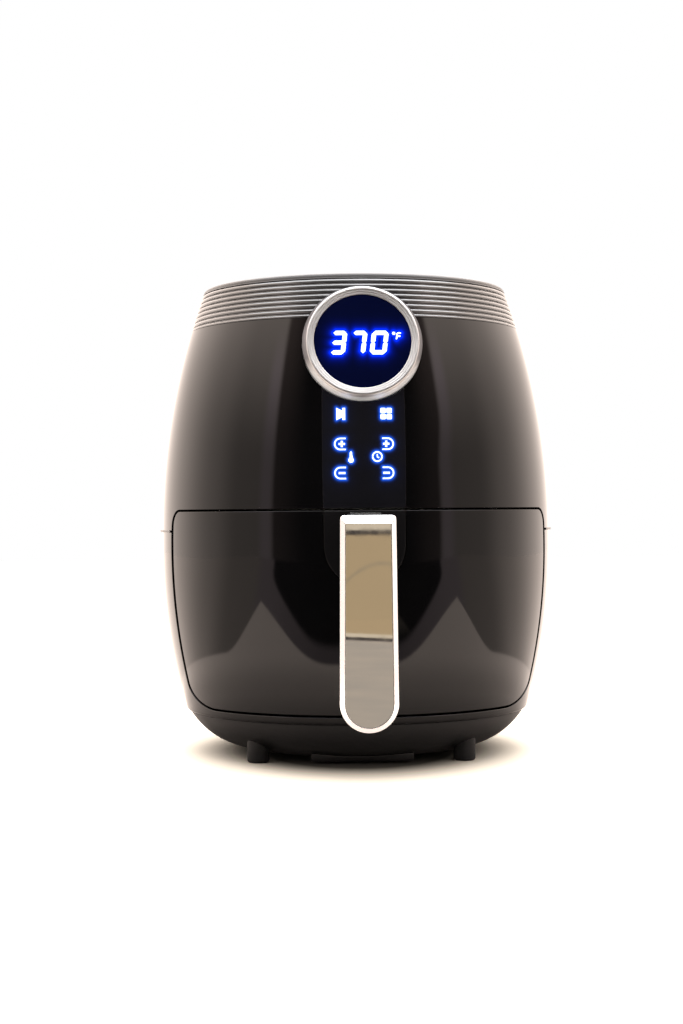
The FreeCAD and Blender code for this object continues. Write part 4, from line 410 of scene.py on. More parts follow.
# %% [markdown]
# ## The table in the handle's plate
# Further out, in the lane that the plate looks along, the paper gives way to a tan table top with a
# slight grain, a dark line across it at a slant, and a pale edge behind the line.

# %% The lane ahead
TABLE_TAN = (0.43, 0.36, 0.29, 1.0)
TABLE_PALE = (0.36, 0.315, 0.265, 1.0)
LANE_LEFT, LANE_RIGHT, LANE_START = (-0.03, -0.02), (0.18, 0.17), (0.35, 0.45)
SLANT_MIDDLE, SLANT_RATE = 0.076, 0.77
TABLE_GRAIN, TABLE_DETAIL = 9.0, 5.0
STRIPES = ((1.43, 1.46, LINE_DARK), (1.50, 1.52, PALE_TAN), (1.57, 1.60, TAN))
lane = between(tree, parts[0], LANE_LEFT, LANE_RIGHT)
lane = calculate(tree, "MULTIPLY", lane, step_between(tree, ahead, *LANE_START))
from_middle = calculate(tree, "SUBTRACT", parts[0], SLANT_MIDDLE)
slanted = calculate(tree, "MULTIPLY_ADD", from_middle, SLANT_RATE, ahead)
table_grain = spread(tree, grain(tree, place, TABLE_GRAIN, TABLE_DETAIL), 0.0, 1.0)
table = mix_colours(tree, table_grain, TABLE_PALE, TABLE_TAN)
for start, end, stripe in STRIPES:
    table = mix_colours(tree, step_between(tree, slanted, start, end), table, stripe)
seen = mix_colours(tree, lane, seen, table)
print("floor nodes with the table:", len(tree.nodes))

# %% [markdown]
# ## The shade under the object
# The camera sees white paper with a soft oval shade that is deepest at the feet. Two ramps of
# distance make it, one close and one wider, over a place that is squeezed sideways into an oval.

# %% The floor's own look
PAPER = (0.80, 0.785, 0.765, 1.0)
PAPER_SHOWN = (2.5, 2.2, 1.85, 1.0)
SQUEEZE = 1.5
CLOSE_SHADE, WIDE_SHADE = (0.06, 0.62, 0.107, 0.157), (0.0, 0.6, 0.155, 0.215)
oval = length_of(tree, calculate(tree, "MULTIPLY", parts[0], SQUEEZE), ahead)
shade = calculate(tree, "ADD", spread(tree, oval, *CLOSE_SHADE), spread(tree, oval, *WIDE_SHADE))
rays = add_node(tree, "LightPath").outputs
paper = mix_colours(tree, rays["Is Camera Ray"], PAPER, tinted(tree, shade, PAPER_SHOWN))
paper = mix_colours(tree, rays["Is Glossy Ray"], paper, seen)
matt = add_node(tree, "BsdfDiffuse", Color=paper)
tree.links.new(matt.outputs[0], add_node(tree, "OutputMaterial").inputs["Surface"])
floor.data.materials.append(floor_finish)
print("floor nodes in all:", len(tree.nodes))

# %% [markdown]
# ## Finishes
# Each material slot of the record gets one procedural finish. All of them follow the same plan, as
# real surfaces do: a colour that drifts a little, a roughness that drifts too, and a fine relief.
# The patterns read Object coordinates in metres, so they keep their scale from piece to piece. A
# few pieces later bring a finish of their own, where they differ from the rest of their slot.

# %% A plain finish
def finish(name, colours, rough, metallic=0.0, drift=18.0, fine=900.0, relief=(0.05, 0.0001),
           stretch=(1, 1, 1), **sockets):
    """A finish whose colour and roughness drift between two values, with a fine relief."""
    material = bpy.data.materials.new(name)
    material.use_nodes = True
    tree = material.node_tree
    shader = tree.nodes["Principled BSDF"]
    shader.inputs["Metallic"].default_value = metallic
    for socket, value in sockets.items():
        shader.inputs[socket.replace("_", " ")].default_value = value
    place = add_node(tree, "TexCoord").outputs["Object"]
    slow, quick = grain(tree, place, drift, 4.0), grain(tree, place, fine, 2.0, stretch)
    colour = mix_colours(tree, spread(tree, slow, 0.0, 1.0), (*colours[0], 1), (*colours[1], 1))
    tree.links.new(colour, shader.inputs["Base Color"])
    mixed = calculate(tree, "MULTIPLY_ADD", quick, 0.5, calculate(tree, "MULTIPLY", slow, 0.5))
    tree.links.new(spread(tree, mixed, *rough), shader.inputs["Roughness"])
    bump = add_node(tree, "Bump", Strength=relief[0], Distance=relief[1], Height=quick)
    tree.links.new(bump.outputs[0], shader.inputs["Normal"])
    return material


def shader_of(material):
    return material.node_tree.nodes["Principled BSDF"]


# %% [markdown]
# ## Plastics, glass and film
# The gloss plastic is nearly black and almost a mirror. Its index of refraction is a little under
# the usual one, because the room it mirrors is painted so bright. Satin plastic is rougher and has
# a tight grain. The touch glass and the smoked lens are smoother than any of them.

# %% Plastic finishes
MOULD_GLOSS = {"fine": 60.0, "relief": (0.02, 0.00004), "IOR": 1.35}
GLASS_GLOSS = {"fine": 40.0, "relief": (0.01, 0.00003), "IOR": 1.35}
SATIN = {"fine": 2600.0, "relief": (0.12, 0.00008)}
FINISHES = {
    "black_gloss": finish("gloss_black_plastic", ((0.0026, 0.0024, 0.0026), (0.0036, 0.0033, 0.0035)),
                          (0.035, 0.075), **MOULD_GLOSS),
    "black_satin": finish("satin_black_plastic", ((0.0065, 0.0062, 0.0064), (0.0095, 0.0090, 0.0092)),
                          (0.28, 0.42), **SATIN),
    "black_mirror": finish("mirror_black_touch_glass", ((0.0090, 0.0085, 0.0110), (0.0110, 0.0105, 0.0130)),
                           (0.02, 0.05), **GLASS_GLOSS),
    "smoked_lens": finish("smoked_lens", ((0.0012, 0.0030, 0.026), (0.0018, 0.0040, 0.032)), (0.03, 0.06),
                          **GLASS_GLOSS),
    "digits": finish("diffuser_white", ((0.70, 0.76, 0.80), (0.78, 0.83, 0.86)), (0.35, 0.5)),
    "circuit_board": finish("green_solder_mask", ((0.006, 0.055, 0.022), (0.010, 0.085, 0.034)),
                            (0.25, 0.4)),
    "foil": finish("amber_sensing_film", ((0.46, 0.30, 0.09), (0.56, 0.38, 0.13)), (0.25, 0.4)),
    "rubber": finish("soft_rubber", ((0.0045, 0.0043, 0.0044), (0.0075, 0.0072, 0.0073)), (0.62, 0.82),
                     fine=3000.0, relief=(0.2, 0.0001)),
    "fan_plastic": finish("fan_plastic", ((0.030, 0.030, 0.032), (0.042, 0.042, 0.044)), (0.35, 0.5)),
    "button_grey": finish("button_grey", ((0.10, 0.10, 0.105), (0.13, 0.13, 0.135)), (0.32, 0.45), **SATIN),
    "clear_guard": finish("clear_guard", ((0.80, 0.83, 0.85), (0.86, 0.88, 0.90)), (0.05, 0.12),
                          Transmission_Weight=0.9, IOR=1.49),
    "component_dark": finish("component_dark", ((0.025, 0.03, 0.045), (0.04, 0.045, 0.06)), (0.3, 0.5)),
    "fuse_white": finish("fuse_ceramic", ((0.66, 0.65, 0.62), (0.76, 0.75, 0.72)), (0.35, 0.5)),
}
print("plastic finishes:", len(FINISHES))

# %% [markdown]
# ## Metals and coatings
# Bare metals take their colour in their reflections, so they differ by tint, roughness and the way
# their grain runs: drawn out along a shaft, packed tight on a stack of laminations or a winding.

# %% Metal finishes
CHROMED = {"metallic": 1.0, "fine": 160.0, "relief": (0.02, 0.00003)}
FINISHES.update({
    "chrome": finish("polished_chrome", ((0.93, 0.93, 0.93), (0.97, 0.97, 0.97)), (0.006, 0.03), **CHROMED),
    "satin_chrome": finish("spun_satin_chrome", ((0.47, 0.465, 0.455), (0.62, 0.61, 0.59)), (0.36, 0.46),
                           metallic=1.0, fine=2200.0, relief=(0.16, 0.00006)),
    "screw_steel": finish("zinc_plated_steel", ((0.52, 0.52, 0.50), (0.62, 0.61, 0.57)), (0.28, 0.42),
                          metallic=1.0),
    "sheet_steel": finish("galvanised_sheet", ((0.46, 0.47, 0.48), (0.58, 0.59, 0.60)), (0.3, 0.5),
                          metallic=1.0, drift=90.0, fine=1500.0),
    "aluminised_steel": finish("aluminised_sheet", ((0.60, 0.60, 0.60), (0.70, 0.70, 0.69)), (0.25, 0.42),
                               metallic=1.0, drift=60.0, fine=1200.0, stretch=(1, 1, 8)),
    "nonstick": finish("nonstick_coat", ((0.022, 0.022, 0.024), (0.032, 0.032, 0.034)), (0.30, 0.44),
                       fine=1800.0, relief=(0.22, 0.00012)),
    "heater_steel": finish("heat_tinted_tube", ((0.16, 0.12, 0.09), (0.26, 0.23, 0.21)), (0.3, 0.5),
                           metallic=1.0, drift=55.0),
    "shaft_steel": finish("ground_shaft_steel", ((0.56, 0.56, 0.57), (0.64, 0.64, 0.65)), (0.12, 0.22),
                          metallic=1.0, fine=2500.0, stretch=(1, 1, 12)),
    "lamination": finish("laminated_core", ((0.16, 0.165, 0.18), (0.24, 0.245, 0.26)), (0.35, 0.55),
                         metallic=1.0, fine=1400.0, relief=(0.5, 0.0002), stretch=(0.02, 0.02, 1)),
    "copper_winding": finish("enamelled_copper", ((0.62, 0.23, 0.08), (0.80, 0.34, 0.13)), (0.22, 0.36),
                             metallic=1.0, fine=1500.0, relief=(0.7, 0.0003), stretch=(0.03, 0.03, 1)),
    "bronze": finish("sintered_bronze", ((0.42, 0.25, 0.10), (0.52, 0.33, 0.15)), (0.38, 0.55),
                     metallic=1.0, fine=3500.0, relief=(0.3, 0.0001)),
})
slot_of = {row["node"]: row["material_slot"] for row in frame["record"]["subparts"]}
body_of = {node: body for body, nodes in frame["record"]["behaviour"]["bodies"].items() for node in nodes}
print("slots without a finish:", sorted(set(slot_of.values()) - set(FINISHES)))

# %% [markdown]
# ## Selecting
# Blender's operators act on all that is selected. So one piece alone is selected first, and then, in
# edit mode, the vertices, edges or faces of it that a test picks out by their place or normal.

# %% Selecting
def only(obj):
    """Leaves this piece selected and active, and no other."""
    bpy.ops.object.select_all(action="DESELECT")
    obj.select_set(True)
    bpy.context.view_layer.objects.active = obj


def start_edit(obj):
    only(obj)
    bpy.ops.object.mode_set(mode="EDIT")
    bpy.ops.mesh.select_all(action="SELECT")


def end_edit():
    """Back to object mode, with vertices as what the next edit selects."""
    bpy.ops.mesh.select_mode(type="VERT")
    bpy.ops.object.mode_set(mode="OBJECT")


def pick(obj, kind, wanted):
    """In edit mode, selects the verts, edges or faces that a test wants, and nothing else."""
    bpy.ops.mesh.select_mode(type={"verts": "VERT", "edges": "EDGE", "faces": "FACE"}[kind])
    bpy.ops.mesh.select_all(action="DESELECT")
    shape = bmesh.from_edit_mesh(obj.data)
    for element in getattr(shape, kind):
        element.select_set(wanted(element))
    bmesh.update_edit_mesh(obj.data)


# %% [markdown]
# ## Tracing and extruding
# Nearly every piece starts as an outline drawn by extruding one vertex from point to point. A closed
# outline is filled and given depth; an open profile is spun round an axis. Both ways keep edges
# exact, which a gloss surface needs. The first vertex is a tiny plane merged into its middle.

# %% Tracing and extruding
STAND_IN_SIZE = 0.001


def trace(name, points, closed=True):
    """A chain of edges, drawn by extruding one vertex from point to point; a closed one is filled."""
    bpy.ops.object.select_all(action="DESELECT")
    bpy.ops.mesh.primitive_plane_add(size=STAND_IN_SIZE, location=(0, 0, 0))
    obj = bpy.context.object
    obj.name = name
    bpy.ops.object.mode_set(mode="EDIT")
    bpy.ops.mesh.merge(type="CENTER")
    bpy.ops.transform.translate(value=points[0])
    for here, there in zip(points, points[1:]):
        step = Vector(there) - Vector(here)
        bpy.ops.mesh.extrude_vertices_move(TRANSFORM_OT_translate={"value": step})
    if closed:
        pick(obj, "verts", lambda vertex: len(vertex.link_edges) == 1)
        bpy.ops.mesh.edge_face_add()
        bpy.ops.mesh.select_all(action="SELECT")
        bpy.ops.mesh.edge_face_add()
    end_edit()
    return obj


def extrude(obj, move):
    """Gives a flat face depth, and turns the faces outwards."""
    start_edit(obj)
    bpy.ops.mesh.extrude_region_move(TRANSFORM_OT_translate={"value": move})
    bpy.ops.mesh.select_all(action="SELECT")
    bpy.ops.mesh.normals_make_consistent(inside=False)
    end_edit()
    return obj


# %% [markdown]
# ## Cutting, bevelling and placing
# Holes are cut by modifiers that are applied at once, and edges are rounded by a bevel on just the
# edges that a test picks, such as those at one height. A finished piece keeps its place in its mesh,
# so turns and moves are applied too.

# %% Cutting, bevelling and placing
def combine(obj, other, operation="DIFFERENCE"):
    """Cuts the other shape out of this one, or joins it on, and removes the other."""
    only(obj)
    modifier = obj.modifiers.new("boolean", "BOOLEAN")
    modifier.operation, modifier.solver, modifier.object = operation, "MANIFOLD", other
    bpy.ops.object.modifier_apply(modifier=modifier.name)
    bpy.data.objects.remove(other)
    return obj


def bevel_edges(obj, width, wanted, segments=3):
    """Rounds the edges that wanted(edge) picks."""
    start_edit(obj)
    pick(obj, "edges", lambda edge: len(edge.link_faces) == 2 and wanted(edge))
    bpy.ops.mesh.bevel(offset=width, offset_type="OFFSET", segments=segments, profile=0.5, affect="EDGES",
                       clamp_overlap=True)
    end_edit()
    return obj


def smooth(obj, angle=35.0):
    only(obj)
    bpy.ops.object.shade_smooth_by_angle(angle=math.radians(angle))
    return obj


def place_turned(obj, location, rotation=(0, 0, 0)):
    """Turns and moves a piece and applies both, so that its place is in its mesh."""
    only(obj)
    obj.location, obj.rotation_euler = location, rotation
    bpy.ops.object.transform_apply(location=True, rotation=True, scale=True)
    return obj


def join(first, *others):
    only(first)
    for obj in others:
        obj.select_set(True)
    bpy.ops.object.join()
    return first


def box_piece(name, low, high):
    """A cube primitive, sized and placed between two corners."""
    bpy.ops.object.select_all(action="DESELECT")
    centre = [(a + b) / 2 for a, b in zip(low, high)]
    bpy.ops.mesh.primitive_cube_add(size=1, location=centre, scale=[b - a for a, b in zip(low, high)])
    obj = bpy.context.object
    obj.name = name
    bpy.ops.object.transform_apply(location=True, rotation=True, scale=True)
    return obj


# %% [markdown]
# ## Rounded outlines and spun profiles
# An outline has only its corners; small curves are put in their place. Round pieces are spun from
# half a section, with enough steps that a gloss edge shows no facets.

# %% Rounding and spinning
def rounded(points, radius, steps=4):
    """The same outline with a curve at each corner; radius is one value or one for each corner."""
    radii = radius if hasattr(radius, "__len__") else [radius] * len(points)
    result = []
    for i, corner in enumerate(points):
        here = Vector(corner)
        if radii[i] <= 0:
            result.append(tuple(here))
            continue
        before, after = Vector(points[i - 1]) - here, Vector(points[(i + 1) % len(points)]) - here
        half = before.angle(after) / 2
        reach = min(radii[i] / math.tan(half), before.length * 0.49, after.length * 0.49)
        start, end = here + before.normalized() * reach, here + after.normalized() * reach
        for k in range(steps + 1):
            t = k / steps
            result.append(tuple(start * (1 - t) ** 2 + here * 2 * t * (1 - t) + end * t ** 2))
    return result


def quarter(steps, first=0):
    """The angles of a quarter turn in even steps, from the first step on."""
    return [math.pi / 2 * i / steps for i in range(first, steps + 1)]


def lathe(name, profile, steps=240):
    """Spins an open profile of (radius, height) round the Z axis."""
    obj = trace(name, [(r, 0, z) for r, z in profile], closed=False)
    start_edit(obj)
    bpy.ops.mesh.spin(steps=steps, angle=2 * math.pi, center=(0, 0, 0), axis=(0, 0, 1))
    bpy.ops.mesh.select_all(action="SELECT")
    bpy.ops.mesh.remove_doubles(threshold=1e-6)
    bpy.ops.mesh.normals_make_consistent(inside=False)
    end_edit()
    return smooth(obj)


def dress(obj, slot, body, own_finish=None):
    """Gives a finished piece the finish of its slot, or its own, and its body, and says how large it is."""
    obj.data.materials.clear()
    obj.data.materials.append(own_finish or FINISHES[slot])
    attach(obj, body)
    corners = np.array([corner[:] for corner in obj.bound_box])
    size = np.round(1000 * np.ptp(corners, 0), 1).tolist()
    print(obj.name, "size in mm", size, "faces", len(obj.data.polygons))
    return obj


def wear(obj, node, own_finish=None):
    """Dresses a piece as the CAD node that it stands for."""
    dress(obj, slot_of[node], body_of[node], own_finish)
    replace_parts(obj, node)
    return obj


# %% [markdown]
# ## Boards that are rolled onto the barrel
# The housings, the drawer's front and the touch panel are all cut from the barrel's wall. Cutting
# such openings in a curved shell spoils a gloss surface, so each one is made as a sheet-metal
# worker would: as a flat board, with its outline cut and its edges rounded while it is flat. It is
# then scored into narrow strips, so that it can bend.

# %% Boards
STRIP = GIRTH / 180                    # one strip of a rolled board is two degrees
RISER = 0.005                          # and this high
WALL = 0.003                           # the thickness of the moulded walls


def along(x, z):
    """Where a point that is seen at x and z from the front lies on the flat board."""
    return BELLY * math.asin(x / radius_at(z))


def flat_outline(points, lift=0.0):
    """An outline that is seen from the front, laid out on the flat board or a lift above it."""
    return [(along(x, z), z, lift) for x, z in points]


def wall_board(name, low, high, start=-HALF_GIRTH, end=HALF_GIRTH, depth=WALL, stand_out=0.0):
    return box_piece(name, (start, low, stand_out - depth), (end, high, stand_out))


def score(obj, across=STRIP, up=RISER):
    """Cuts the board into strips with bisections that keep both halves."""
    corners = np.array([corner[:] for corner in obj.bound_box])
    low, high = corners.min(0), corners.max(0)
    start_edit(obj)
    for axis, pitch in ((0, across), (1, up)):
        for k in range(math.floor(low[axis] / pitch) + 1, math.ceil(high[axis] / pitch)):
            bpy.ops.mesh.select_all(action="SELECT")
            point, normal = [0, 0, 0], [0, 0, 0]
            point[axis], normal[axis] = k * pitch, 1
            bpy.ops.mesh.bisect(plane_co=point, plane_no=normal)
    end_edit()
    return obj


def front_edge(edge):
    """An edge between a flat board's face and one of its sides."""
    tilts = sorted(abs(face.normal.z) for face in edge.link_faces)
    return tilts[0] < 0.1 and tilts[1] > 0.99 and max(face.normal.z for face in edge.link_faces) > 0.9


def open_ends(obj):
    """Removes the end faces of a board that meets itself at the back when it is rolled."""
    start_edit(obj)
    pick(obj, "faces", lambda face: abs(face.normal.x) > 0.99
         and abs(abs(face.calc_center_median().x) - HALF_GIRTH) < 1e-5)
    bpy.ops.mesh.delete(type="FACE")
    end_edit()
    return obj


# %% [markdown]
# ## Normals worked out while the board is flat
# A face of the flat board is truly flat, so its normals are exact there. Each face corner keeps the
# normal of the board's face, of its rounded edge or of its upright side, whichever it belongs to, so
# that after rolling the reflections run on cleanly up to the edge.

# %% Flat normals
LEVEL_TILT, UPRIGHT_TILT = 0.999, 0.02   # a face is level above one tilt, and upright below the other
SAME_SIDE = 0.85                         # how alike two normals of one smooth side are


def places_of(mesh):
    """The places of all vertices, as an array."""
    flat = np.empty(len(mesh.vertices) * 3)
    mesh.vertices.foreach_get("co", flat)
    return flat.reshape(-1, 3)


def vertices_of(mesh):
    """Which vertex each face corner lies at."""
    vertex = np.empty(len(mesh.loops), int)
    mesh.loops.foreach_get("vertex_index", vertex)
    return vertex


def mean_normals(count, vertex, normals, chosen):
    """The mean of the chosen corners' normals at each vertex, and which vertices have one."""
    total = np.zeros((count, 3))
    np.add.at(total, vertex[chosen], normals[chosen])
    length = np.linalg.norm(total, axis=1)
    found = length > 0
    total[found] /= length[found, None]
    return total[vertex], found[vertex]


def flat_normals(mesh):
    """Normals of a flat board's corners: its face and back exactly level, its rounded edges smooth."""
    vertex, count = vertices_of(mesh), len(mesh.vertices)
    owner = np.empty(len(mesh.loops), int)
    for polygon in mesh.polygons:
        owner[polygon.loop_start:polygon.loop_start + polygon.loop_total] = polygon.index
    of_faces = np.empty(len(mesh.polygons) * 3)
    mesh.polygons.foreach_get("normal", of_faces)
    normals = of_faces.reshape(-1, 3)[owner]
    tilt = np.abs(normals[:, 2])
    level, upright = tilt > LEVEL_TILT, tilt < UPRIGHT_TILT
    edge = ~level & ~upright
    side_mean, by_side = mean_normals(count, vertex, normals, upright)
    edge_mean, _ = mean_normals(count, vertex, normals, edge)
    on_face = np.zeros(count, bool)
    on_face[vertex[level & (normals[:, 2] > 0)]] = True
    by_face = on_face[vertex]
    smooth_side = upright & ((side_mean * normals).sum(1) > SAME_SIDE)
    normals[smooth_side] = side_mean[smooth_side]
    normals[edge] = edge_mean[edge]
    low_rim = edge & by_side & ~by_face
    normals[low_rim] = side_mean[low_rim]
    normals[edge & by_face] = (0, 0, 1)
    return normals


# %% [markdown]
# ## Rolling
# Rolling turns a place on the board, how far round, how high and how far out, into a place on the
# barrel. The normals are turned with it and stored as an attribute, so that they outlast the merge
# that closes the board's two ends, and are then set as the piece's own.

# %% Rolling
def roll(obj):
    """Rolls a flat board onto the barrel: x runs round it, y up it, and z out of it."""
    mesh = obj.data
    normals, vertex, flat = flat_normals(mesh), vertices_of(mesh), places_of(mesh)
    angle, z = flat[:, 0] / BELLY, flat[:, 1]
    radius, slope = barrel_radius(z) + flat[:, 2], barrel_slope(z)
    zero = np.zeros_like(angle)
    outward = np.stack([np.sin(angle), -np.cos(angle), zero], 1)
    sideways = np.stack([np.cos(angle), np.sin(angle), zero], 1)
    up = np.array([0.0, 0.0, 1.0])
    length = np.sqrt(1 + slope ** 2)[:, None]
    climb = (slope[:, None] * outward + up) / length
    face = (outward - slope[:, None] * up) / length
    turned = (normals[:, :1] * sideways[vertex] + normals[:, 1:2] * climb[vertex]
              + normals[:, 2:] * face[vertex])
    rolled = outward * radius[:, None] + up * z[:, None]
    rolled[:, 1] += AXIS_Y
    mesh.vertices.foreach_set("co", rolled.ravel())
    mesh.attributes.new("turned", "FLOAT_VECTOR", "CORNER").data.foreach_set("vector", turned.ravel())
    mesh.update()
    start_edit(obj)
    bpy.ops.mesh.remove_doubles(threshold=2e-6)
    end_edit()
    mesh = obj.data
    kept = np.empty(len(mesh.loops) * 3)
    mesh.attributes["turned"].data.foreach_get("vector", kept)
    kept = kept.reshape(-1, 3)
    kept /= np.linalg.norm(kept, axis=1)[:, None]
    mesh.attributes.remove(mesh.attributes["turned"])
    mesh.polygons.foreach_set("use_smooth", [True] * len(mesh.polygons))
    mesh.normals_split_custom_set(kept.tolist())
    return obj


# %% [markdown]
# ## The drawer's outline
# The drawer's outline has small elliptical corners at the top and large round ones at the bottom.
# Its long side is a parabola through three places on the barrel, and so follows the barrel's curve.
# The opening round it is the same outline, grown by the gap.

# %% The drawer's outline
HALF_ANGLE = math.sin(math.radians(67.0))   # the drawer reaches this far round, 67 degrees a side
DRAWER_GAP = 0.0016
TOP_CORNER_WIDE, TOP_CORNER_HIGH = 0.0047, 0.0116
LOW_CORNER = 0.021


def mirrored(right):
    """A closed outline from its right half, which runs from the bottom to the top."""
    return right + [(-x, z) for x, z in reversed(right)]


def drawer_half(grow):
    """The right half of the drawer's outline, from its bottom to its top."""
    low, corner_z = DRAWER_LOW - grow, DRAWER_HIGH - TOP_CORNER_HIGH
    middle_z = (low + corner_z) / 2
    corner_x = radius_at(corner_z) * HALF_ANGLE - TOP_CORNER_WIDE
    known_x = [radius_at(z) * HALF_ANGLE + grow for z in (low, middle_z)]
    known_x.append(corner_x + TOP_CORNER_WIDE + grow)
    flank = np.polyfit([low, middle_z, corner_z], known_x, 2)
    slope = np.polyval(np.polyder(flank), low + LOW_CORNER)
    radius = LOW_CORNER + grow
    centre_z = low + radius
    centre_x = np.polyval(flank, centre_z) - radius * math.sqrt(1 + slope ** 2)
    end = -math.atan(slope)
    points = []
    for i in range(17):
        turn = -math.pi / 2 + (end + math.pi / 2) * i / 16
        points.append((centre_x + radius * math.cos(turn), centre_z + radius * math.sin(turn)))
    for z in np.linspace(points[-1][1], corner_z, 14)[1:]:
        points.append((float(np.polyval(flank, z)), float(z)))
    for turn in quarter(8, 1):
        points.append((corner_x + (TOP_CORNER_WIDE + grow) * math.cos(turn),
                       corner_z + (TOP_CORNER_HIGH + grow) * math.sin(turn)))
    return points


print("drawer half outline points", len(drawer_half(0)))

# %% [markdown]
# ## The display's outline
# The display leans back, and its hole is a leaning cylinder. Its outline on the barrel is found by
# walking round the cylinder and sliding each point along its axis until it meets the wall. Any
# outline is cut out of a flat board by a prism that has the outline's shape on the board.

# %% The display's outline
RING_TILT = math.radians(13.0)
RING_Z = BAND_LOW - 0.0185
RING_FRONT = radius_at(RING_Z) - 0.0002
RING_FOOT = 0.0408                     # the ring's outer radius
RING_GAP = 0.0004


def ring_outline(radius, steps=72):
    """Where a cylinder round the display's axis meets the barrel, as seen from the front."""
    lean, upright = math.sin(RING_TILT), math.cos(RING_TILT)
    points = []
    for i in range(steps):
        turn = 2 * math.pi * i / steps
        x, slide = radius * math.cos(turn), 0.0
        for _ in range(12):
            z = RING_Z + radius * math.sin(turn) * upright + slide * lean
            wall = math.sqrt(radius_at(z) ** 2 - x * x)
            slide = (-RING_FRONT + radius * math.sin(turn) * lean + wall) / upright
        points.append((x, z))
    return points


def cut_front(obj, outline, copies=(0.0,), depth=0.012):
    """Cuts an outline that is seen from the front out of a flat board, at each of the places named."""
    for shift in copies:
        points = [(u + shift, v, w) for u, v, w in flat_outline(outline, depth)]
        combine(obj, extrude(trace("cutter", points), (0, 0, -3 * depth)))
    return obj


print("display centre at z", round(RING_Z, 4))

# %% [markdown]
# ## Base
# The base is a shallow bowl with a flat underside, in satin black. It is spun from its profile, in
# which a shallow arc makes the swelling side. A low pad at the front is a box with rounded edges.

# %% Base
BOWL_FLAT_Z, BOWL_SWELL, BOWL_SKIN = 0.0045, 0.0055, 0.003
LIP, SPIGOT_RISE = 0.0004, 0.0024
PAD_HALF, PAD_LONG, PAD_TOP, PAD_ROUND = 0.036, 0.032, 0.0075, 0.0014
base_radius = radius_at(BASE_TOP)
rim_radius, flat_radius, spigot = base_radius - 0.0022, base_radius - 0.0424, base_radius - 0.0094


def bowl_arc(first, last, bulge, steps=14):
    """Points on a shallow arc between two profile points that swells out by bulge."""
    a, b = Vector(first), Vector(last)
    chord = b - a
    out = Vector((chord.y, -chord.x)).normalized()
    shares = [i / steps for i in range(steps + 1)]
    return [tuple(a + chord * t + out * bulge * 4 * t * (1 - t)) for t in shares]


profile = [(0.0, BOWL_FLAT_Z), (flat_radius * 0.5, BOWL_FLAT_Z)]
profile += bowl_arc((flat_radius, BOWL_FLAT_Z), (rim_radius, BASE_TOP), BOWL_SWELL)
profile += [(rim_radius - LIP, BASE_TOP + LIP), (spigot, BASE_TOP + LIP), (spigot, BASE_TOP + SPIGOT_RISE),
            (spigot - BOWL_SKIN, BASE_TOP + SPIGOT_RISE), (spigot - BOWL_SKIN, BASE_TOP - BOWL_SKIN),
            (flat_radius, BOWL_FLAT_Z + BOWL_SKIN), (0.0, BOWL_FLAT_Z + BOWL_SKIN)]
base_bowl = place_turned(lathe("base_bowl", profile), (0, AXIS_Y, 0))
pad_front = -(flat_radius + 0.006) + AXIS_Y
front_pad = box_piece("front_pad", (-PAD_HALF, pad_front, height("base", False)),
                      (PAD_HALF, pad_front + PAD_LONG, PAD_TOP))
bevel_edges(front_pad, PAD_ROUND, lambda edge: all(v.co.z < 0.003 for v in edge.verts)
            or abs(edge.verts[0].co.z - edge.verts[1].co.z) > 0.003)
join(base_bowl, smooth(front_pad))
wear(base_bowl, "base")

# %% [markdown]
# ## Feet
# Each foot is a soft rubber disc with a rounded edge and a recess for its screw. The four are spun
# from one profile, set at the corners of the node's box, and joined, as the node is one piece.

# %% Feet
FOOT_RADIUS = 0.0078
foot_low, foot_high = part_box("feet")
foot_offset_x = foot_high.x - FOOT_RADIUS
foot_middle_y = (foot_low.y + foot_high.y) / 2
foot_offset_y = foot_high.y - FOOT_RADIUS - foot_middle_y
foot_profile = [(0.0017, 0.005), (0.0033, 0.005), (0.0033, 0.0004), (0.0039, 0.0), (0.0062, 0.0),
                (0.0072, 0.0004), (FOOT_RADIUS, 0.0014), (FOOT_RADIUS, foot_high.z)]
feet = []
for side in (-1, 1):
    for end in (-1, 1):
        foot = lathe("foot", foot_profile, 48)
        feet.append(place_turned(foot, (side * foot_offset_x, foot_middle_y + end * foot_offset_y, 0)))
feet_piece = join(*feet)
feet_piece.name = "rubber_feet"
wear(feet_piece, "feet")

# %% [markdown]
# ## Lower housing
# The lower housing is the barrel's wall below the seam, open at the front for the drawer. It is a
# board as long as the barrel's girth. Its lower edge is rounded over to meet the base, and the edge
# round the drawer's opening has a small radius, which draws the thin bright line beside the gap.

# %% Lower housing
NEAR = 1e-5
LOW_ROUND, OPENING_ROUND = 0.0028, 0.0006
drawer_opening = mirrored(drawer_half(DRAWER_GAP))
lower_shell = wall_board("lower_shell", BASE_TOP, SEAM_LOW)
bevel_edges(lower_shell, LOW_ROUND, lambda edge: all(v.co.y < BASE_TOP + NEAR for v in edge.verts)
            and all(v.co.z > -NEAR for v in edge.verts), 4)
cut_front(lower_shell, drawer_opening)
bevel_edges(lower_shell, OPENING_ROUND, lambda edge: front_edge(edge)
            and all(abs(v.co.x) < HALF_GIRTH - 1e-4 and v.co.y > BASE_TOP + 0.004 for v in edge.verts)
            and any(v.co.y < SEAM_LOW - 1e-4 for v in edge.verts), 2)
open_ends(lower_shell)
roll(score(lower_shell))
wear(lower_shell, "lower_housing")

# %% [markdown]
# ## Seam ring
# A narrow ring marks the seam between the two housings and stands out a little from both. It is a
# thin board with its front edges rounded. The drawer reaches up past the seam, so its opening is
# cut out of the ring too.

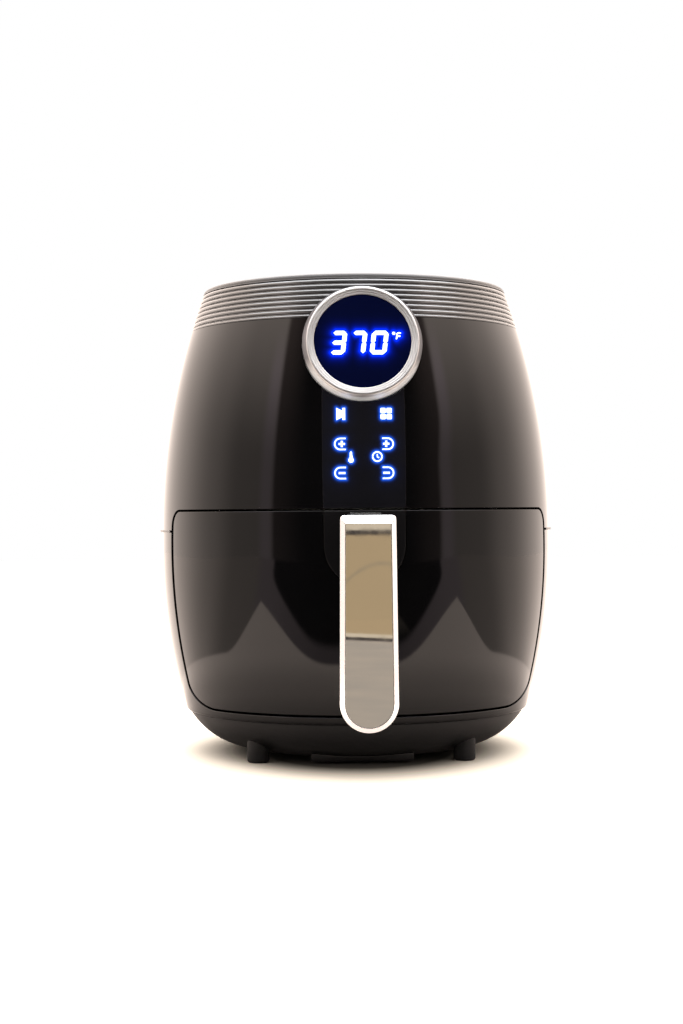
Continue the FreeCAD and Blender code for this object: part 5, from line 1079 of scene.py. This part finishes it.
# %% Seam ring
SEAM_DEPTH, SEAM_STAND_OUT, SEAM_ROUND = 0.0042, 0.0012, 0.0005
seam_line = wall_board("seam_line", SEAM_LOW, SEAM_HIGH, depth=SEAM_DEPTH, stand_out=SEAM_STAND_OUT)
bevel_edges(seam_line, SEAM_ROUND, lambda edge: all(v.co.z > 0 for v in edge.verts)
            and abs(edge.verts[0].co.x - edge.verts[1].co.x) > 0.1)
cut_front(seam_line, drawer_opening)
open_ends(seam_line)
roll(score(seam_line))
wear(seam_line, "seam_ring")

# %% [markdown]
# ## Upper housing
# The upper housing's board starts and ends at the front, because the touch panel and the display
# leave nothing of it there, so it has no joint to hide. What is cut at the front is therefore cut at
# both ends of the board. The hole for the vent hood is in the middle of it, at the back.

# %% Upper housing
PANEL_HALF, PANEL_GAP = 0.0278, 0.0003
VENT_HALF, VENT_CORNER, VENT_LAP = 0.044, 0.008, 0.002
EDGE_ROUND, HOLE_CORNER, HOLE_LIFT = 0.0005, 0.006, 0.012
VENT_LOW, VENT_HIGH = height("vent_hood", False), height("vent_hood")


def back_rectangle(half, low, high, corner, lift):
    """A rounded rectangle at the middle of the back, a lift above the flat board."""
    sides = ((-half, low), (half, low), (half, high), (-half, high))
    return rounded([(HALF_GIRTH + x, z, lift) for x, z in sides], corner, 6)


upper_shell = wall_board("upper_shell", SEAM_HIGH, BAND_LOW, 0.0, GIRTH)
slot_side = [(PANEL_HALF + PANEL_GAP, z) for z in np.linspace(SEAM_HIGH - 0.01, RING_Z, 12)]
for opening in (drawer_opening, mirrored(slot_side), ring_outline(RING_FOOT + RING_GAP)):
    cut_front(upper_shell, opening, copies=(0.0, GIRTH))
hole = back_rectangle(VENT_HALF - VENT_LAP, VENT_LOW + VENT_LAP, VENT_HIGH - VENT_LAP,
                      HOLE_CORNER, HOLE_LIFT)
combine(upper_shell, extrude(trace("cutter", hole), (0, 0, -0.03)))
bevel_edges(upper_shell, EDGE_ROUND, lambda edge: front_edge(edge)
            and all(v.co.y < BAND_LOW - 1e-4 for v in edge.verts)
            and any(v.co.y > SEAM_HIGH + 1e-4 for v in edge.verts)
            and all(abs(v.co.x - HALF_GIRTH) > 0.06 for v in edge.verts), 2)
roll(score(upper_shell))
wear(upper_shell, "upper_housing")

# %% [markdown]
# ## Ribbed band
# The band's ribs are half-round, with narrow grooves between them. One function draws a rib, a loop
# stacks them, and the band is spun. The display's ring cuts into it from below, so a cylinder takes
# that place out. The ribs have a brushed finish that mirrors more strongly than the housing does.

# %% Ribbed band
RIB_PITCH, RIB_DEPTH, RIB_REACH, GROOVE = 0.00352, 0.0015, 0.0013, 0.0007
FIRST_GROOVE = BAND_LOW + 0.0028
RIBS, THINNEST_RIB = 9, 0.0008
BAND_SKIN = 0.0045


def rib(low, high, steps=7):
    """One rib's profile: rounded off towards both grooves."""
    reach = min((high - low) / 2, RIB_REACH)
    points = [(radius_at(low) - RIB_DEPTH, low)]
    for turn in quarter(steps, 1):
        z = low + reach * (1 - math.cos(turn))
        points.append((radius_at(z) - RIB_DEPTH * (1 - math.sin(turn)), z))
    for turn in quarter(steps):
        z = high - reach * (1 - math.sin(turn))
        points.append((radius_at(z) - RIB_DEPTH * (1 - math.cos(turn)), z))
    return points


profile, low = [], BAND_LOW
for i in range(RIBS):
    high = min(FIRST_GROOVE + i * RIB_PITCH - GROOVE / 2, BAND_HIGH)
    if high - low > THINNEST_RIB:
        profile += rib(low, high)
    low = high + GROOVE
profile += [(radius_at(BAND_HIGH) - RIB_DEPTH, BAND_HIGH), (radius_at(BAND_HIGH) - BAND_SKIN, BAND_HIGH),
            (radius_at(BAND_LOW) - BAND_SKIN, BAND_LOW), profile[0]]
rib_band = place_turned(lathe("rib_band", profile, 288), (0, AXIS_Y, 0))
bpy.ops.object.select_all(action="DESELECT")
bpy.ops.mesh.primitive_cylinder_add(vertices=144, radius=RING_FOOT + RING_GAP, depth=0.08)
RING_SEAT, RING_TURN = Vector((0, AXIS_Y - RING_FRONT, RING_Z)), (math.pi / 2 - RING_TILT, 0, 0)
combine(rib_band, place_turned(bpy.context.object, RING_SEAT, RING_TURN))
smooth(rib_band)
wear(rib_band, "ribbed_band", finish("brushed_black_ribs", ((0.058, 0.056, 0.055), (0.076, 0.073, 0.072)),
                                     (0.12, 0.20), fine=700.0, relief=(0.03, 0.00004), IOR=1.88))

# %% [markdown]
# ## Lid
# The lid is a flat disc whose edge is rounded over by a quarter of a circle. It is satin, much
# lighter than the gloss housings, and its fine grain keeps it even under the bright ceiling.

# %% Lid
LID_EDGE = 0.0028                      # the radius of its rounded edge
edge_radius = radius_at(BAND_HIGH)
lid_profile = [(0.0, TOP), (edge_radius - 0.012, TOP)]
lid_profile += [(edge_radius - 0.0036 + LID_EDGE * math.sin(turn), TOP - LID_EDGE * (1 - math.cos(turn)))
                for turn in quarter(8)]
lid_profile += [(edge_radius - 0.0004, BAND_HIGH), (0.0, BAND_HIGH)]
lid = place_turned(lathe("lid", lid_profile, 288), (0, AXIS_Y, 0))
lid_shades = ((0.068, 0.065, 0.064), (0.078, 0.074, 0.073))
wear(lid, "top_cover", finish("satin_black_lid", lid_shades, (0.32, 0.44), IOR=1.38, **SATIN))

# %% [markdown]
# ## Display ring
# The ring is a spun metal bezel: a steep cone outside, a flat bright crest, and two small steps down
# to the lens. It is spun upright at the origin, then leaned back and set on its seat.

# %% Ring
CREST, CREST_STEP, LAST_STEP = 0.0059, 0.0053, 0.0048   # heights above the seat
LENS_FRONT = 0.0038
RING_IN, RING_BACK, RING_SKIRT = 0.0330, 0.0368, -0.012
ring_section = [       # radius, height, and how much the corner is rounded
    (RING_BACK, RING_SKIRT, 0), (RING_FOOT, RING_SKIRT, 0.0004), (RING_FOOT, 0.0, 0.0012),
    (0.0381, CREST, 0.0014), (0.0366, CREST, 0.0001), (0.0364, CREST_STEP, 0.0001),
    (0.0350, CREST_STEP, 0.0001), (0.0348, LAST_STEP, 0.0001), (RING_IN, LAST_STEP, 0.0004),
    (RING_IN, LENS_FRONT, 0), (RING_BACK, 0.0030, 0), (RING_BACK, RING_SKIRT, 0)]
ring_profile = rounded([(r, z, 0) for r, z, _ in ring_section], [corner for _, _, corner in ring_section])
ring = lathe("display_bezel", [(p[0], p[1]) for p in ring_profile], 288)
smooth(ring, 50)
place_turned(ring, RING_SEAT, RING_TURN)
wear(ring, "display_ring")

# %% [markdown]
# ## Painted sheen and shade on the ring's cone
# The ring's outer cone has a painted sheen towards the bottom, where it looks down at the paper, and
# a painted shade above. The node graph of its finish tells the cone by its distance from the ring's
# middle; that zone gets a dark colour above, and below a pale one with less of its metal shine.

# %% Painted sheen and shade on the ring's cone
OUTER_CONE, LOW_SIDE, PAINTED_SHEEN_SHARE = (0.0379, 0.0384), (-0.010, -0.026), 0.6
# The dark colour is a painted shade on the upper cone, the pale one a painted sheen on the lower.
CONE_PAINTED_SHADE, CONE_PAINTED_SHEEN = (0.14, 0.14, 0.15, 1), (0.88, 0.88, 0.87, 1)
spun, shader = ring.data.materials[0].node_tree, shader_of(ring.data.materials[0])
parts = add_node(spun, "SeparateXYZ", Vector=add_node(spun, "TexCoord").outputs["Object"]).outputs
up = calculate(spun, "SUBTRACT", parts[2], RING_Z + 0.0006)
outer = step_between(spun, length_of(spun, parts[0], up), *OUTER_CONE)
low = step_between(spun, up, *LOW_SIDE)
base = shader.inputs["Base Color"]
painted_cone_light = mix_colours(spun, low, CONE_PAINTED_SHADE, CONE_PAINTED_SHEEN)
spun.links.new(mix_colours(spun, outer, base.links[0].from_socket, painted_cone_light), base)
# Less metal shine low down lets the pale colour show there as a painted sheen.
painted_sheen_metallic = calculate(spun, "MULTIPLY_ADD", calculate(spun, "MULTIPLY", outer, low), -PAINTED_SHEEN_SHARE, 1.0)
spun.links.new(painted_sheen_metallic, shader.inputs["Metallic"])
print("ring nodes:", len(spun.nodes))

# %% [markdown]
# ## The lit number
# The digits are seven-segment bars, slanted, that lie just in front of the lens. Each bar has six
# sides and pointed ends, and is worked out from the two corners of the digit that it joins.

# %% Digit bars
DIGIT_HIGH, DIGIT_WIDE, BAR = 0.0168, 0.0102, 0.0030
SLANT, DIGIT_DROP, BAR_POINT = 0.13, 0.0011, 0.22
PLATE = 0.00012                        # how thick the lit plates are
HAIR = 0.00002                         # and how deep they sit in what is behind them


def bar_outline(first, last, thickness):
    """A six-sided bar between two points, pointed at both ends."""
    a, b = Vector(first), Vector(last)
    way = (b - a).normalized()
    side = Vector((-way.y, way.x)) * thickness / 2
    a, b = a - way * thickness * BAR_POINT, b + way * thickness * BAR_POINT
    inner_a, inner_b = a + way * thickness / 2, b - way * thickness / 2
    return [a, inner_a - side, inner_b - side, b, inner_b + side, inner_a + side]


def digit_bars(lit, left, low, high=DIGIT_HIGH, wide=DIGIT_WIDE, thickness=BAR):
    """The lit bars of one seven-segment digit, as outlines in the display's own plane."""
    half = thickness / 2
    corners = {"bl": (half, half), "br": (wide - half, half), "ml": (half, high / 2),
               "mr": (wide - half, high / 2), "tl": (half, high - half), "tr": (wide - half, high - half)}
    ends = {"top": ("tl", "tr"), "middle": ("ml", "mr"), "bottom": ("bl", "br"), "upper_left": ("ml", "tl"),
            "upper_right": ("mr", "tr"), "lower_left": ("bl", "ml"), "lower_right": ("br", "mr")}
    outlines = []
    for name in lit:
        outline = bar_outline(*(corners[end] for end in ends[name]), thickness)
        outlines.append([(left + p.x + SLANT * p.y, low + p.y) for p in outline])
    return outlines


THREE = ("top", "middle", "bottom", "upper_right", "lower_right")
SEVEN = ("top", "upper_right", "lower_right")
ZERO = ("top", "bottom", "upper_left", "upper_right", "lower_left", "lower_right")
LETTER = ("top", "middle", "upper_left", "lower_left")
DEGREE_X, DEGREE_RISE, DEGREE_RADIUS = 0.0211, 0.0047, 0.0011
digit_low = -DIGIT_HIGH / 2 - DIGIT_DROP
unit_low = 0.0018 - DIGIT_DROP
bars = digit_bars(THREE, -0.0224, digit_low) + digit_bars(SEVEN, -0.0088, digit_low)
bars += digit_bars(ZERO, 0.0044, digit_low, wide=0.0114)
bars += digit_bars(LETTER, 0.0223, unit_low, 0.0054, 0.0035, 0.0011)
bars.append([(DEGREE_X + DEGREE_RADIUS * math.cos(t), unit_low + DEGREE_RISE + DEGREE_RADIUS * math.sin(t))
             for t in [2 * math.pi * i / 12 for i in range(12)]])


def flat_plates(name, outlines, depth, base=0.0):
    """Thin plates with these outlines, joined into one piece."""
    plates = []
    for outline in outlines:
        plate = trace(name, [(x, y, base + depth) for x, y in outline])
        plates.append(extrude(plate, (0, 0, -depth)))
    piece = join(*plates)
    piece.name = name
    return piece


lit = finish("lit_segments", ((0.80, 0.86, 0.95), (0.86, 0.92, 1.0)), (0.3, 0.4),
             Emission_Color=(0.72, 0.86, 1.0, 1), Emission_Strength=1.5)
digits = flat_plates("lit_digits", bars, PLATE, LENS_FRONT - HAIR)
dress(place_turned(digits, RING_SEAT, RING_TURN), "digits", "housing", lit)

# %% [markdown]
# ## The blue bloom
# Light from the bars spreads in the smoked lens as a blue bloom. It is stored as an attribute of the
# lens's vertices, worked out from each one's distance to the nearest bar: a bright rim that fades
# fast, and a faint wash that fades slowly.

# %% Bloom
def distance_to_outlines(points, outlines):
    """How far each point lies from the nearest outline; zero inside it."""
    best = np.full(len(points), 1.0)
    for outline in outlines:
        inside = np.zeros(len(points), bool)
        nearest = np.full(len(points), 1.0)
        for first, last in zip(outline, outline[1:] + outline[:1]):
            a, b = np.array(first), np.array(last)
            t = np.clip(((points - a) @ (b - a)) / ((b - a) @ (b - a)), 0, 1)
            nearest = np.minimum(nearest, np.linalg.norm(points - a - t[:, None] * (b - a), axis=1))
            crosses = (a[1] > points[:, 1]) != (b[1] > points[:, 1])
            climb = (b[1] - a[1]) if b[1] != a[1] else 1e-12
            inside ^= crosses & (points[:, 0] < (b[0] - a[0]) * (points[:, 1] - a[1]) / climb + a[0])
        nearest[inside] = 0
        best = np.minimum(best, nearest)
    return best


def paint_bloom(mesh, outlines, near, far, share):
    """Stores the bloom's strength: a rim that fades over near, and a share of wash that does over far."""
    distance = distance_to_outlines(places_of(mesh)[:, :2], outlines)
    value = (1 - share) * np.exp(-(distance / near) ** 1.4) + share * np.exp(-distance / far)
    mesh.attributes.new("bloom", "FLOAT", "POINT").data.foreach_set("value", value.astype(np.float32))


def glowing(material, colour, strength):
    """Adds light to a finish where its piece's bloom attribute is strong."""
    tree = material.node_tree
    bloom = add_node(tree, "Attribute", attribute_name="bloom").outputs["Fac"]
    shader_of(material).inputs["Emission Color"].default_value = (*colour, 1)
    shine = calculate(tree, "MULTIPLY", bloom, strength)
    tree.links.new(shine, shader_of(material).inputs["Emission Strength"])


# %% [markdown]
# ## Lens
# The lens is a smoked disc under the lit bars. The bloom is stored at its vertices, so it needs a
# fine mesh: a grid whose faces outside the circle are deleted, given depth, and set on its seat.

# %% Lens
LENS_RADIUS, LENS_THICK, LENS_CELL = 0.0352, 0.0025, 0.0005
cells = int(2 * LENS_RADIUS / LENS_CELL)
bpy.ops.object.select_all(action="DESELECT")
bpy.ops.mesh.primitive_grid_add(x_subdivisions=cells, y_subdivisions=cells, size=2 * LENS_RADIUS)
lens = bpy.context.object
lens.name = "smoked_lens_disc"
start_edit(lens)
pick(lens, "faces", lambda face: face.calc_center_median().length > LENS_RADIUS)
bpy.ops.mesh.delete(type="FACE")
end_edit()
paint_bloom(lens.data, bars, 0.0012, 0.0019, 0.42)
extrude(lens, (0, 0, -LENS_THICK))
place_turned(lens, (0, 0, LENS_FRONT))
place_turned(lens, RING_SEAT, RING_TURN)
glowing(FINISHES["smoked_lens"], (0.0, 0.022, 1.0), 2.6)
wear(lens, "display_lens")

# %% [markdown]
# ## Shapes of the signs
# The signs on the touch panel are made of a few kinds of outline: lines of even thickness, arcs,
# half stadiums, plus signs and rounded squares. Each kind is one small function.

# %% Shapes of the signs
STROKE = 0.00092


def stroke(points, thickness=STROKE):
    """The outline of a line of even thickness through the points."""
    line = [Vector(p) for p in points]
    left, right = [], []
    for i, here in enumerate(line):
        before, after = line[max(i - 1, 0)], line[min(i + 1, len(line) - 1)]
        way = (after - before).normalized()
        side = Vector((-way.y, way.x)) * thickness / 2
        left.append(tuple(here + side))
        right.append(tuple(here - side))
    return right + left[::-1]


def arc(centre, radius, start, end, steps=14):
    turns = [math.radians(start + (end - start) * i / steps) for i in range(steps + 1)]
    return [(centre[0] + radius * math.cos(turn), centre[1] + radius * math.sin(turn)) for turn in turns]


def half_stadium(x, z, mirror, radius=0.0037, reach=0.0036):
    path = [(x + reach, z + radius)] + arc((x, z), radius, 90, 270) + [(x + reach, z - radius)]
    return stroke([(mirror * px, pz) for px, pz in path])


def plus(x, z, half=0.0021, thick=0.00065):
    return [(x + a, z + b) for a, b in (
        (-thick, -half), (thick, -half), (thick, -thick), (half, -thick), (half, thick), (thick, thick),
        (thick, half), (-thick, half), (-thick, thick), (-half, thick), (-half, -thick), (-thick, -thick))]


def rounded_square(x, z, half=0.0018, corner=0.0009):
    sides = ((-half, -half), (half, -half), (half, half), (-half, half))
    return [(px, pz) for px, pz, _ in rounded([(x + a, z + b, 0) for a, b in sides], corner, 3)]


# %% [markdown]
# ## The signs in their places
# The signs are generic ones: start and pause, four squares for the menu, a plus and a minus at each
# side, a thermometer and a clock. They are drawn flat, rolled like the panel, and lie a hair in
# front of it.

# %% The signs in their places
PLUS_ROW, MINUS_ROW, SIDE_X = 0.2217, 0.2022, 0.0159
CLOCK, BULB = (0.0088, 0.2131), (-0.00885, 0.2108)
signs = [[(-0.0183, 0.2378), (-0.0142, 0.2398), (-0.0142, 0.2441), (-0.0183, 0.2461)],
         stroke([(-0.0133, 0.2379), (-0.0133, 0.2460)], 0.0018)]
signs += [rounded_square(x, z) for x in (0.0131, 0.0172) for z in (0.2400, 0.2441)]
for mirror in (1, -1):
    signs += [half_stadium(-SIDE_X, PLUS_ROW, mirror), half_stadium(-SIDE_X, MINUS_ROW, mirror),
              plus(mirror * -0.0149, PLUS_ROW),
              stroke([(mirror * -0.0171, MINUS_ROW), (mirror * -0.0127, MINUS_ROW)], 0.0013)]
stem = [(-0.0098, 0.2114), (-0.0096, 0.2158), (-0.0092, 0.2166), (-0.0085, 0.2166), (-0.0081, 0.2158),
        (-0.0079, 0.2114)]
signs.append(arc(BULB, 0.0018, 115, 425) + stem[::-1])
signs += [stroke(arc(CLOCK, 0.0031, 0, 176)), stroke(arc(CLOCK, 0.0031, 180, 356)),
          stroke([(CLOCK[0], 0.2148), (CLOCK[0], 0.2129), (0.0100, 0.2123)], 0.0008)]
flat_signs = [[(along(x, z), z) for x, z in outline] for outline in signs]
lit_signs = roll(flat_plates("lit_signs", flat_signs, 0.00010, -HAIR))
dress(lit_signs, "digits", "housing", lit)

# %% [markdown]
# ## Touch panel
# A mirror-black strip runs from the drawer up to the display, and its top follows the foot of the
# display's ring. It is scored finer than the housings, because the blue bloom of its signs is
# stored at its vertices.

# %% Touch panel
PANEL_THICK, PANEL_CELL, SHOULDER_RISE = 0.0014, 0.0008, 0.0004
panel_low = DRAWER_HIGH + DRAWER_GAP
ring_foot = ring_outline(RING_FOOT + 0.0006, 144)
under = sorted([(x, z) for x, z in ring_foot if z < RING_Z and abs(x) < PANEL_HALF - 0.0004], reverse=True)
side_top = under[0][1] + SHOULDER_RISE
panel_points = [(-PANEL_HALF, panel_low), (PANEL_HALF, panel_low), (PANEL_HALF, side_top)] + under
panel_points += [(-PANEL_HALF, side_top)]
panel = extrude(trace("touch_strip", flat_outline(panel_points)), (0, 0, -PANEL_THICK))
bevel_edges(panel, 0.0003, front_edge, 2)
score(panel, PANEL_CELL, PANEL_CELL)
paint_bloom(panel.data, flat_signs, 0.0009, 0.003, 0.015)
roll(panel)
glowing(FINISHES["black_mirror"], (0.01, 0.12, 0.95), 1.5)
wear(panel, "touch_panel")

# %% [markdown]
# ## Drawer front
# The drawer's front is one more piece of the barrel's wall, with a U-shaped notch at the top. It is
# traced flat, given depth, and gets a soft edge before it is rolled.

# %% Drawer front
INSERT_HALF, INSERT_GAP, INSERT_Z = 0.0274, 0.0005, DRAWER_HIGH - 0.023
SOFT_EDGE = 0.0003


def notch_half(half, top):
    """The right side of the U, from its top down to just short of the middle."""
    return [(half, top), (half, INSERT_Z + 0.008)] + arc((0, INSERT_Z), half, 0, -88, 18)


face_half = drawer_half(0) + notch_half(INSERT_HALF + INSERT_GAP, DRAWER_HIGH)
drawer_face = extrude(trace("drawer_face", flat_outline(mirrored(face_half))), (0, 0, -WALL))
bevel_edges(drawer_face, SOFT_EDGE, front_edge, 2)
roll(score(drawer_face))
wear(drawer_face, "drawer_front")

# %% [markdown]
# ## Insert
# A separate insert fills the notch and carries the handle. It is made as the drawer's front is, and
# both have soft edges, so that the thin gap between them catches a fine line of light, as moulded
# parts do. It is thicker, and a little less glossy.

# %% Insert
insert_half = notch_half(INSERT_HALF, DRAWER_HIGH)[::-1]
insert = extrude(trace("handle_mount", flat_outline(mirrored(insert_half))), (0, 0, -3 * WALL))
bevel_edges(insert, SOFT_EDGE, front_edge, 2)
roll(score(insert))
insert_shades = ((0.0090, 0.0082, 0.0085), (0.0115, 0.0105, 0.011))
wear(insert, "handle_insert", finish("moulded_black_insert", insert_shades, (0.05, 0.10), **MOULD_GLOSS))

# %% [markdown]
# ## Handle
# An upright bar with a round foot stands out from the drawer on one short arm. Its front is a chrome
# rim with a wide slanted edge, which always looks away to the bright room, round a flat mirror plate.
# The bar is traced from the front, given depth, and rounded at the back, where fingers close on it.

# %% Handle bar and arm
rim_low, rim_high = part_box("handle_rim")
HANDLE_TOP, HANDLE_FOOT = rim_high.z, rim_low.z
BAR_FRONT, BAR_DEPTH = rim_high.y, 0.012
FOOT_HALF, TOP_HALF, TOP_ROUND = 0.019, 0.018, 0.003
ARM_HALF, ARM_HIGH = 0.015, 0.028
BACK_ROUND, ARM_ROUND, ARM_LAP = 0.0028, 0.0022, 0.004


def handle_outline(shrink, y, corner):
    """The handle's outline, moved in by shrink, in an upright plane."""
    foot_z = HANDLE_FOOT + FOOT_HALF
    foot = arc((0, foot_z), FOOT_HALF - shrink, 180, 360, 36)
    foot_x, top_x, top_z = FOOT_HALF - shrink, TOP_HALF - shrink, HANDLE_TOP - shrink
    sides = ((foot_x, foot_z + 0.01), (top_x, top_z), (-top_x, top_z), (-foot_x, foot_z + 0.01))
    top = rounded([(x, z, 0) for x, z in sides], [0, corner, corner, 0], 5)
    return [(x, y, z) for x, z in foot + [(p[0], p[1]) for p in top[1:-1]]]


def at_plane(y):
    return lambda edge: all(abs(v.co.y - y) < NEAR for v in edge.verts)


bar = extrude(trace("handle_bar", handle_outline(0, BAR_FRONT, TOP_ROUND)), (0, BAR_DEPTH, 0))
bevel_edges(bar, BACK_ROUND, at_plane(BAR_FRONT + BAR_DEPTH), 4)
arm = box_piece("arm", (-ARM_HALF, BAR_FRONT + ARM_LAP, HANDLE_TOP - ARM_HIGH),
                (ARM_HALF, AXIS_Y - BELLY + WALL, HANDLE_TOP))
bevel_edges(arm, ARM_ROUND, lambda edge: abs(edge.verts[0].co.y - edge.verts[1].co.y) > 0.01, 4)
combine(bar, arm, "UNION")

# %% [markdown]
# ## The button's well and the guard's grooves
# The release button sits in a well in the top of the handle, and the clear guard slides over it in
# two grooves. All three are cut by boxes that reach out above the top.

# %% The button's well and the guard's grooves
WELL_HALF_X, WELL_HALF_Y, WELL_DEEP = 0.0059, 0.0054, 0.012
GROOVE_IN, GROOVE_OUT, GROOVE_DEEP, GROOVE_RUN = 0.0081, 0.0103, 0.0033, 0.0133
CUT_ABOVE = HANDLE_TOP + 0.01
button_low, button_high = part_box("release_button")
button_y = (button_low.y + button_high.y) / 2
guard_low, guard_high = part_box("button_guard")
combine(bar, box_piece("well", (-WELL_HALF_X, button_y - WELL_HALF_Y, HANDLE_TOP - WELL_DEEP),
                       (WELL_HALF_X, button_y + WELL_HALF_Y, CUT_ABOVE)))
for left, right in ((-GROOVE_OUT, -GROOVE_IN), (GROOVE_IN, GROOVE_OUT)):
    combine(bar, box_piece("groove", (left, guard_low.y - GROOVE_RUN, HANDLE_TOP - GROOVE_DEEP),
                           (right, guard_high.y + 0.0003, CUT_ABOVE)))
smooth(bar, 40)
wear(bar, "handle_body")

# %% [markdown]
# ## Chrome rim
# The rim is the bar's outline again, inset so that its edge slants all round. The slope at the top
# is wider, so the inset's top edge is moved down. The opening for the plate is cut through it.

# %% Chrome rim
RIM_WIDTH, RIM_INSET, RIM_FRONT = 0.0032, 0.0030, rim_low.y
RIM_FOOT = BAR_FRONT - 0.0003          # the slope starts this far out from the bar
TOP_DROP = 0.0022                      # the slope at the top is wider by this
PLATE_ROUND = 0.0005
rim = extrude(trace("chrome_rim", handle_outline(0, BAR_FRONT, TOP_ROUND)), (0, RIM_FOOT - BAR_FRONT, 0))
start_edit(rim)
pick(rim, "faces", lambda face: abs(face.calc_center_median().y - RIM_FOOT) < 1e-6)
bpy.ops.mesh.inset(thickness=RIM_INSET, depth=RIM_FOOT - RIM_FRONT, use_even_offset=True)
pick(rim, "verts", lambda vertex: abs(vertex.co.y - RIM_FRONT) < 1e-6 and vertex.co.z > HANDLE_TOP - 0.008)
bpy.ops.transform.translate(value=(0, 0, -TOP_DROP))
end_edit()
hole = [(x, y, z - (TOP_DROP if z > HANDLE_TOP - 0.01 else 0)) for x, y, z in
        handle_outline(RIM_WIDTH, RIM_FRONT - 0.01, PLATE_ROUND)]
combine(rim, extrude(trace("cutter", hole), (0, 0.03, 0)))
smooth(rim, 25)
rim_shades = ((0.95, 0.955, 0.965), (0.98, 0.985, 0.99))
wear(rim, "handle_rim", finish("bright_chrome_rim", rim_shades, (0.16, 0.24), **CHROMED))

# %% [markdown]
# ## Mirror plate
# A flat plate fills the rim's opening, set back a little. Its outline is the handle's once more,
# moved in by the rim's width.

# %% Mirror plate
plate_low, plate_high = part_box("handle_plate")
plate = extrude(trace("mirror_plate", handle_outline(RIM_WIDTH + 0.0001, plate_low.y, PLATE_ROUND)),
                (0, plate_high.y - plate_low.y, 0))
bevel_edges(plate, SOFT_EDGE, at_plane(plate_low.y), 1)
smooth(plate, 25)
wear(plate, "handle_plate")

# %% [markdown]
# ## Vent hood
# Hot air leaves through a slotted hood in the back. The hood is a thick board with its slots cut
# while flat, rolled like the rest.

# %% Vent hood
HOOD_OUT, HOOD_THICK = 0.006, 0.0089
HOOD_ROUND = 0.0006
SLOTS, SLOT_HALF_WIDE, SLOT_HALF_HIGH, SLOT_CORNER = 5, 0.034, 0.002, 0.0019
hood_outline = back_rectangle(VENT_HALF, VENT_LOW, VENT_HIGH, VENT_CORNER, HOOD_OUT)
hood = extrude(trace("vent_cap", hood_outline), (0, 0, -HOOD_THICK))
for i in range(1, SLOTS + 1):
    middle = VENT_LOW + i * (VENT_HIGH - VENT_LOW) / (SLOTS + 1)
    slot_points = back_rectangle(SLOT_HALF_WIDE, middle - SLOT_HALF_HIGH, middle + SLOT_HALF_HIGH,
                                 SLOT_CORNER, 0.01)
    combine(hood, extrude(trace("cutter", slot_points), (0, 0, -0.03)))
bevel_edges(hood, HOOD_ROUND, front_edge, 2)
roll(score(hood))
wear(hood, "vent_hood")

# %% [markdown]
# ## Cord gland
# The mains cord leaves through a rubber gland. Its profile is a tapered tail with a few ribs, which
# let it bend, a collar outside the wall and a waist within it. It is spun and then laid level.

# %% Cord gland
BORE, TAIL, WAIST, LENGTH = 0.0036, 0.0046, 0.0063, 0.030
TAIL_RIBS, TAIL_PITCH, TAPER = 4, 0.0022, 0.0017 / 0.013
gland_low, gland_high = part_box("cord_gland")
gland_z = (gland_low.z + gland_high.z) / 2
collar = gland_high.z - gland_z
gland_profile = [(BORE, 0.0), (TAIL - 0.0003, 0.0), (TAIL, 0.0004)]
for i in range(TAIL_RIBS):
    start = 0.0014 + i * TAIL_PITCH
    swell = TAIL + TAPER * start
    gland_profile += [(swell, start), (swell + 0.0001, start + 0.0011), (swell - 0.0006, start + 0.0013),
                      (swell - 0.0006, start + 0.0018)]
gland_profile += [(0.0060, 0.0104), (collar - 0.0008, 0.0106), (collar, 0.0114), (collar, 0.0129),
                  (WAIST, 0.0130), (WAIST, LENGTH), (BORE, LENGTH), (BORE, 0.0)]
gland = lathe("cord_sleeve", gland_profile, 64)
place_turned(gland, (0, gland_high.y, gland_z), (math.pi / 2, 0, 0))
wear(gland, "cord_gland")

# %% [markdown]
# ## Pieces that keep their CAD shape
# The rest of the pieces are mostly inside, and their CAD shape is right. Each one is copied, merged
# and shaded smooth, so that its rounded corners don't show facets when the drawer is open, and gets
# the finish of its slot. The basket's bracket lies bare on top of the open drawer, so it is a darker
# brushed steel.

# %% The remaining nodes
own_finishes = {"basket_bracket": finish("brushed_bracket_steel", ((0.10, 0.10, 0.10), (0.14, 0.14, 0.14)),
                                         (0.30, 0.42), metallic=1.0, fine=1400.0)}
made = {node for obj in bpy.context.scene.objects for node in list(obj.get("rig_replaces", []))}
remaining = [node for node in sorted(frame["nodes"]) if node not in made]
for node in remaining:
    original = frame["nodes"][node]
    copy = original.copy()
    copy.data = original.data.copy()
    copy.name = node + "_piece"
    copy.parent = None
    for key in list(copy.keys()):
        del copy[key]
    bpy.context.scene.collection.objects.link(copy)
    start_edit(copy)
    bpy.ops.mesh.remove_doubles(threshold=1e-6)
    end_edit()
    if copy.data.has_custom_normals:
        bpy.ops.mesh.customdata_custom_splitnormals_clear()
    smooth(copy, 32)
    wear(copy, node, own_finishes.get(node))
print("pieces copied from CAD:", len(remaining))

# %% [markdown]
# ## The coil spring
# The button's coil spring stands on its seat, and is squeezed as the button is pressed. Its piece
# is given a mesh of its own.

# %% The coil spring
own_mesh(bpy.data.objects["button_spring_piece"])
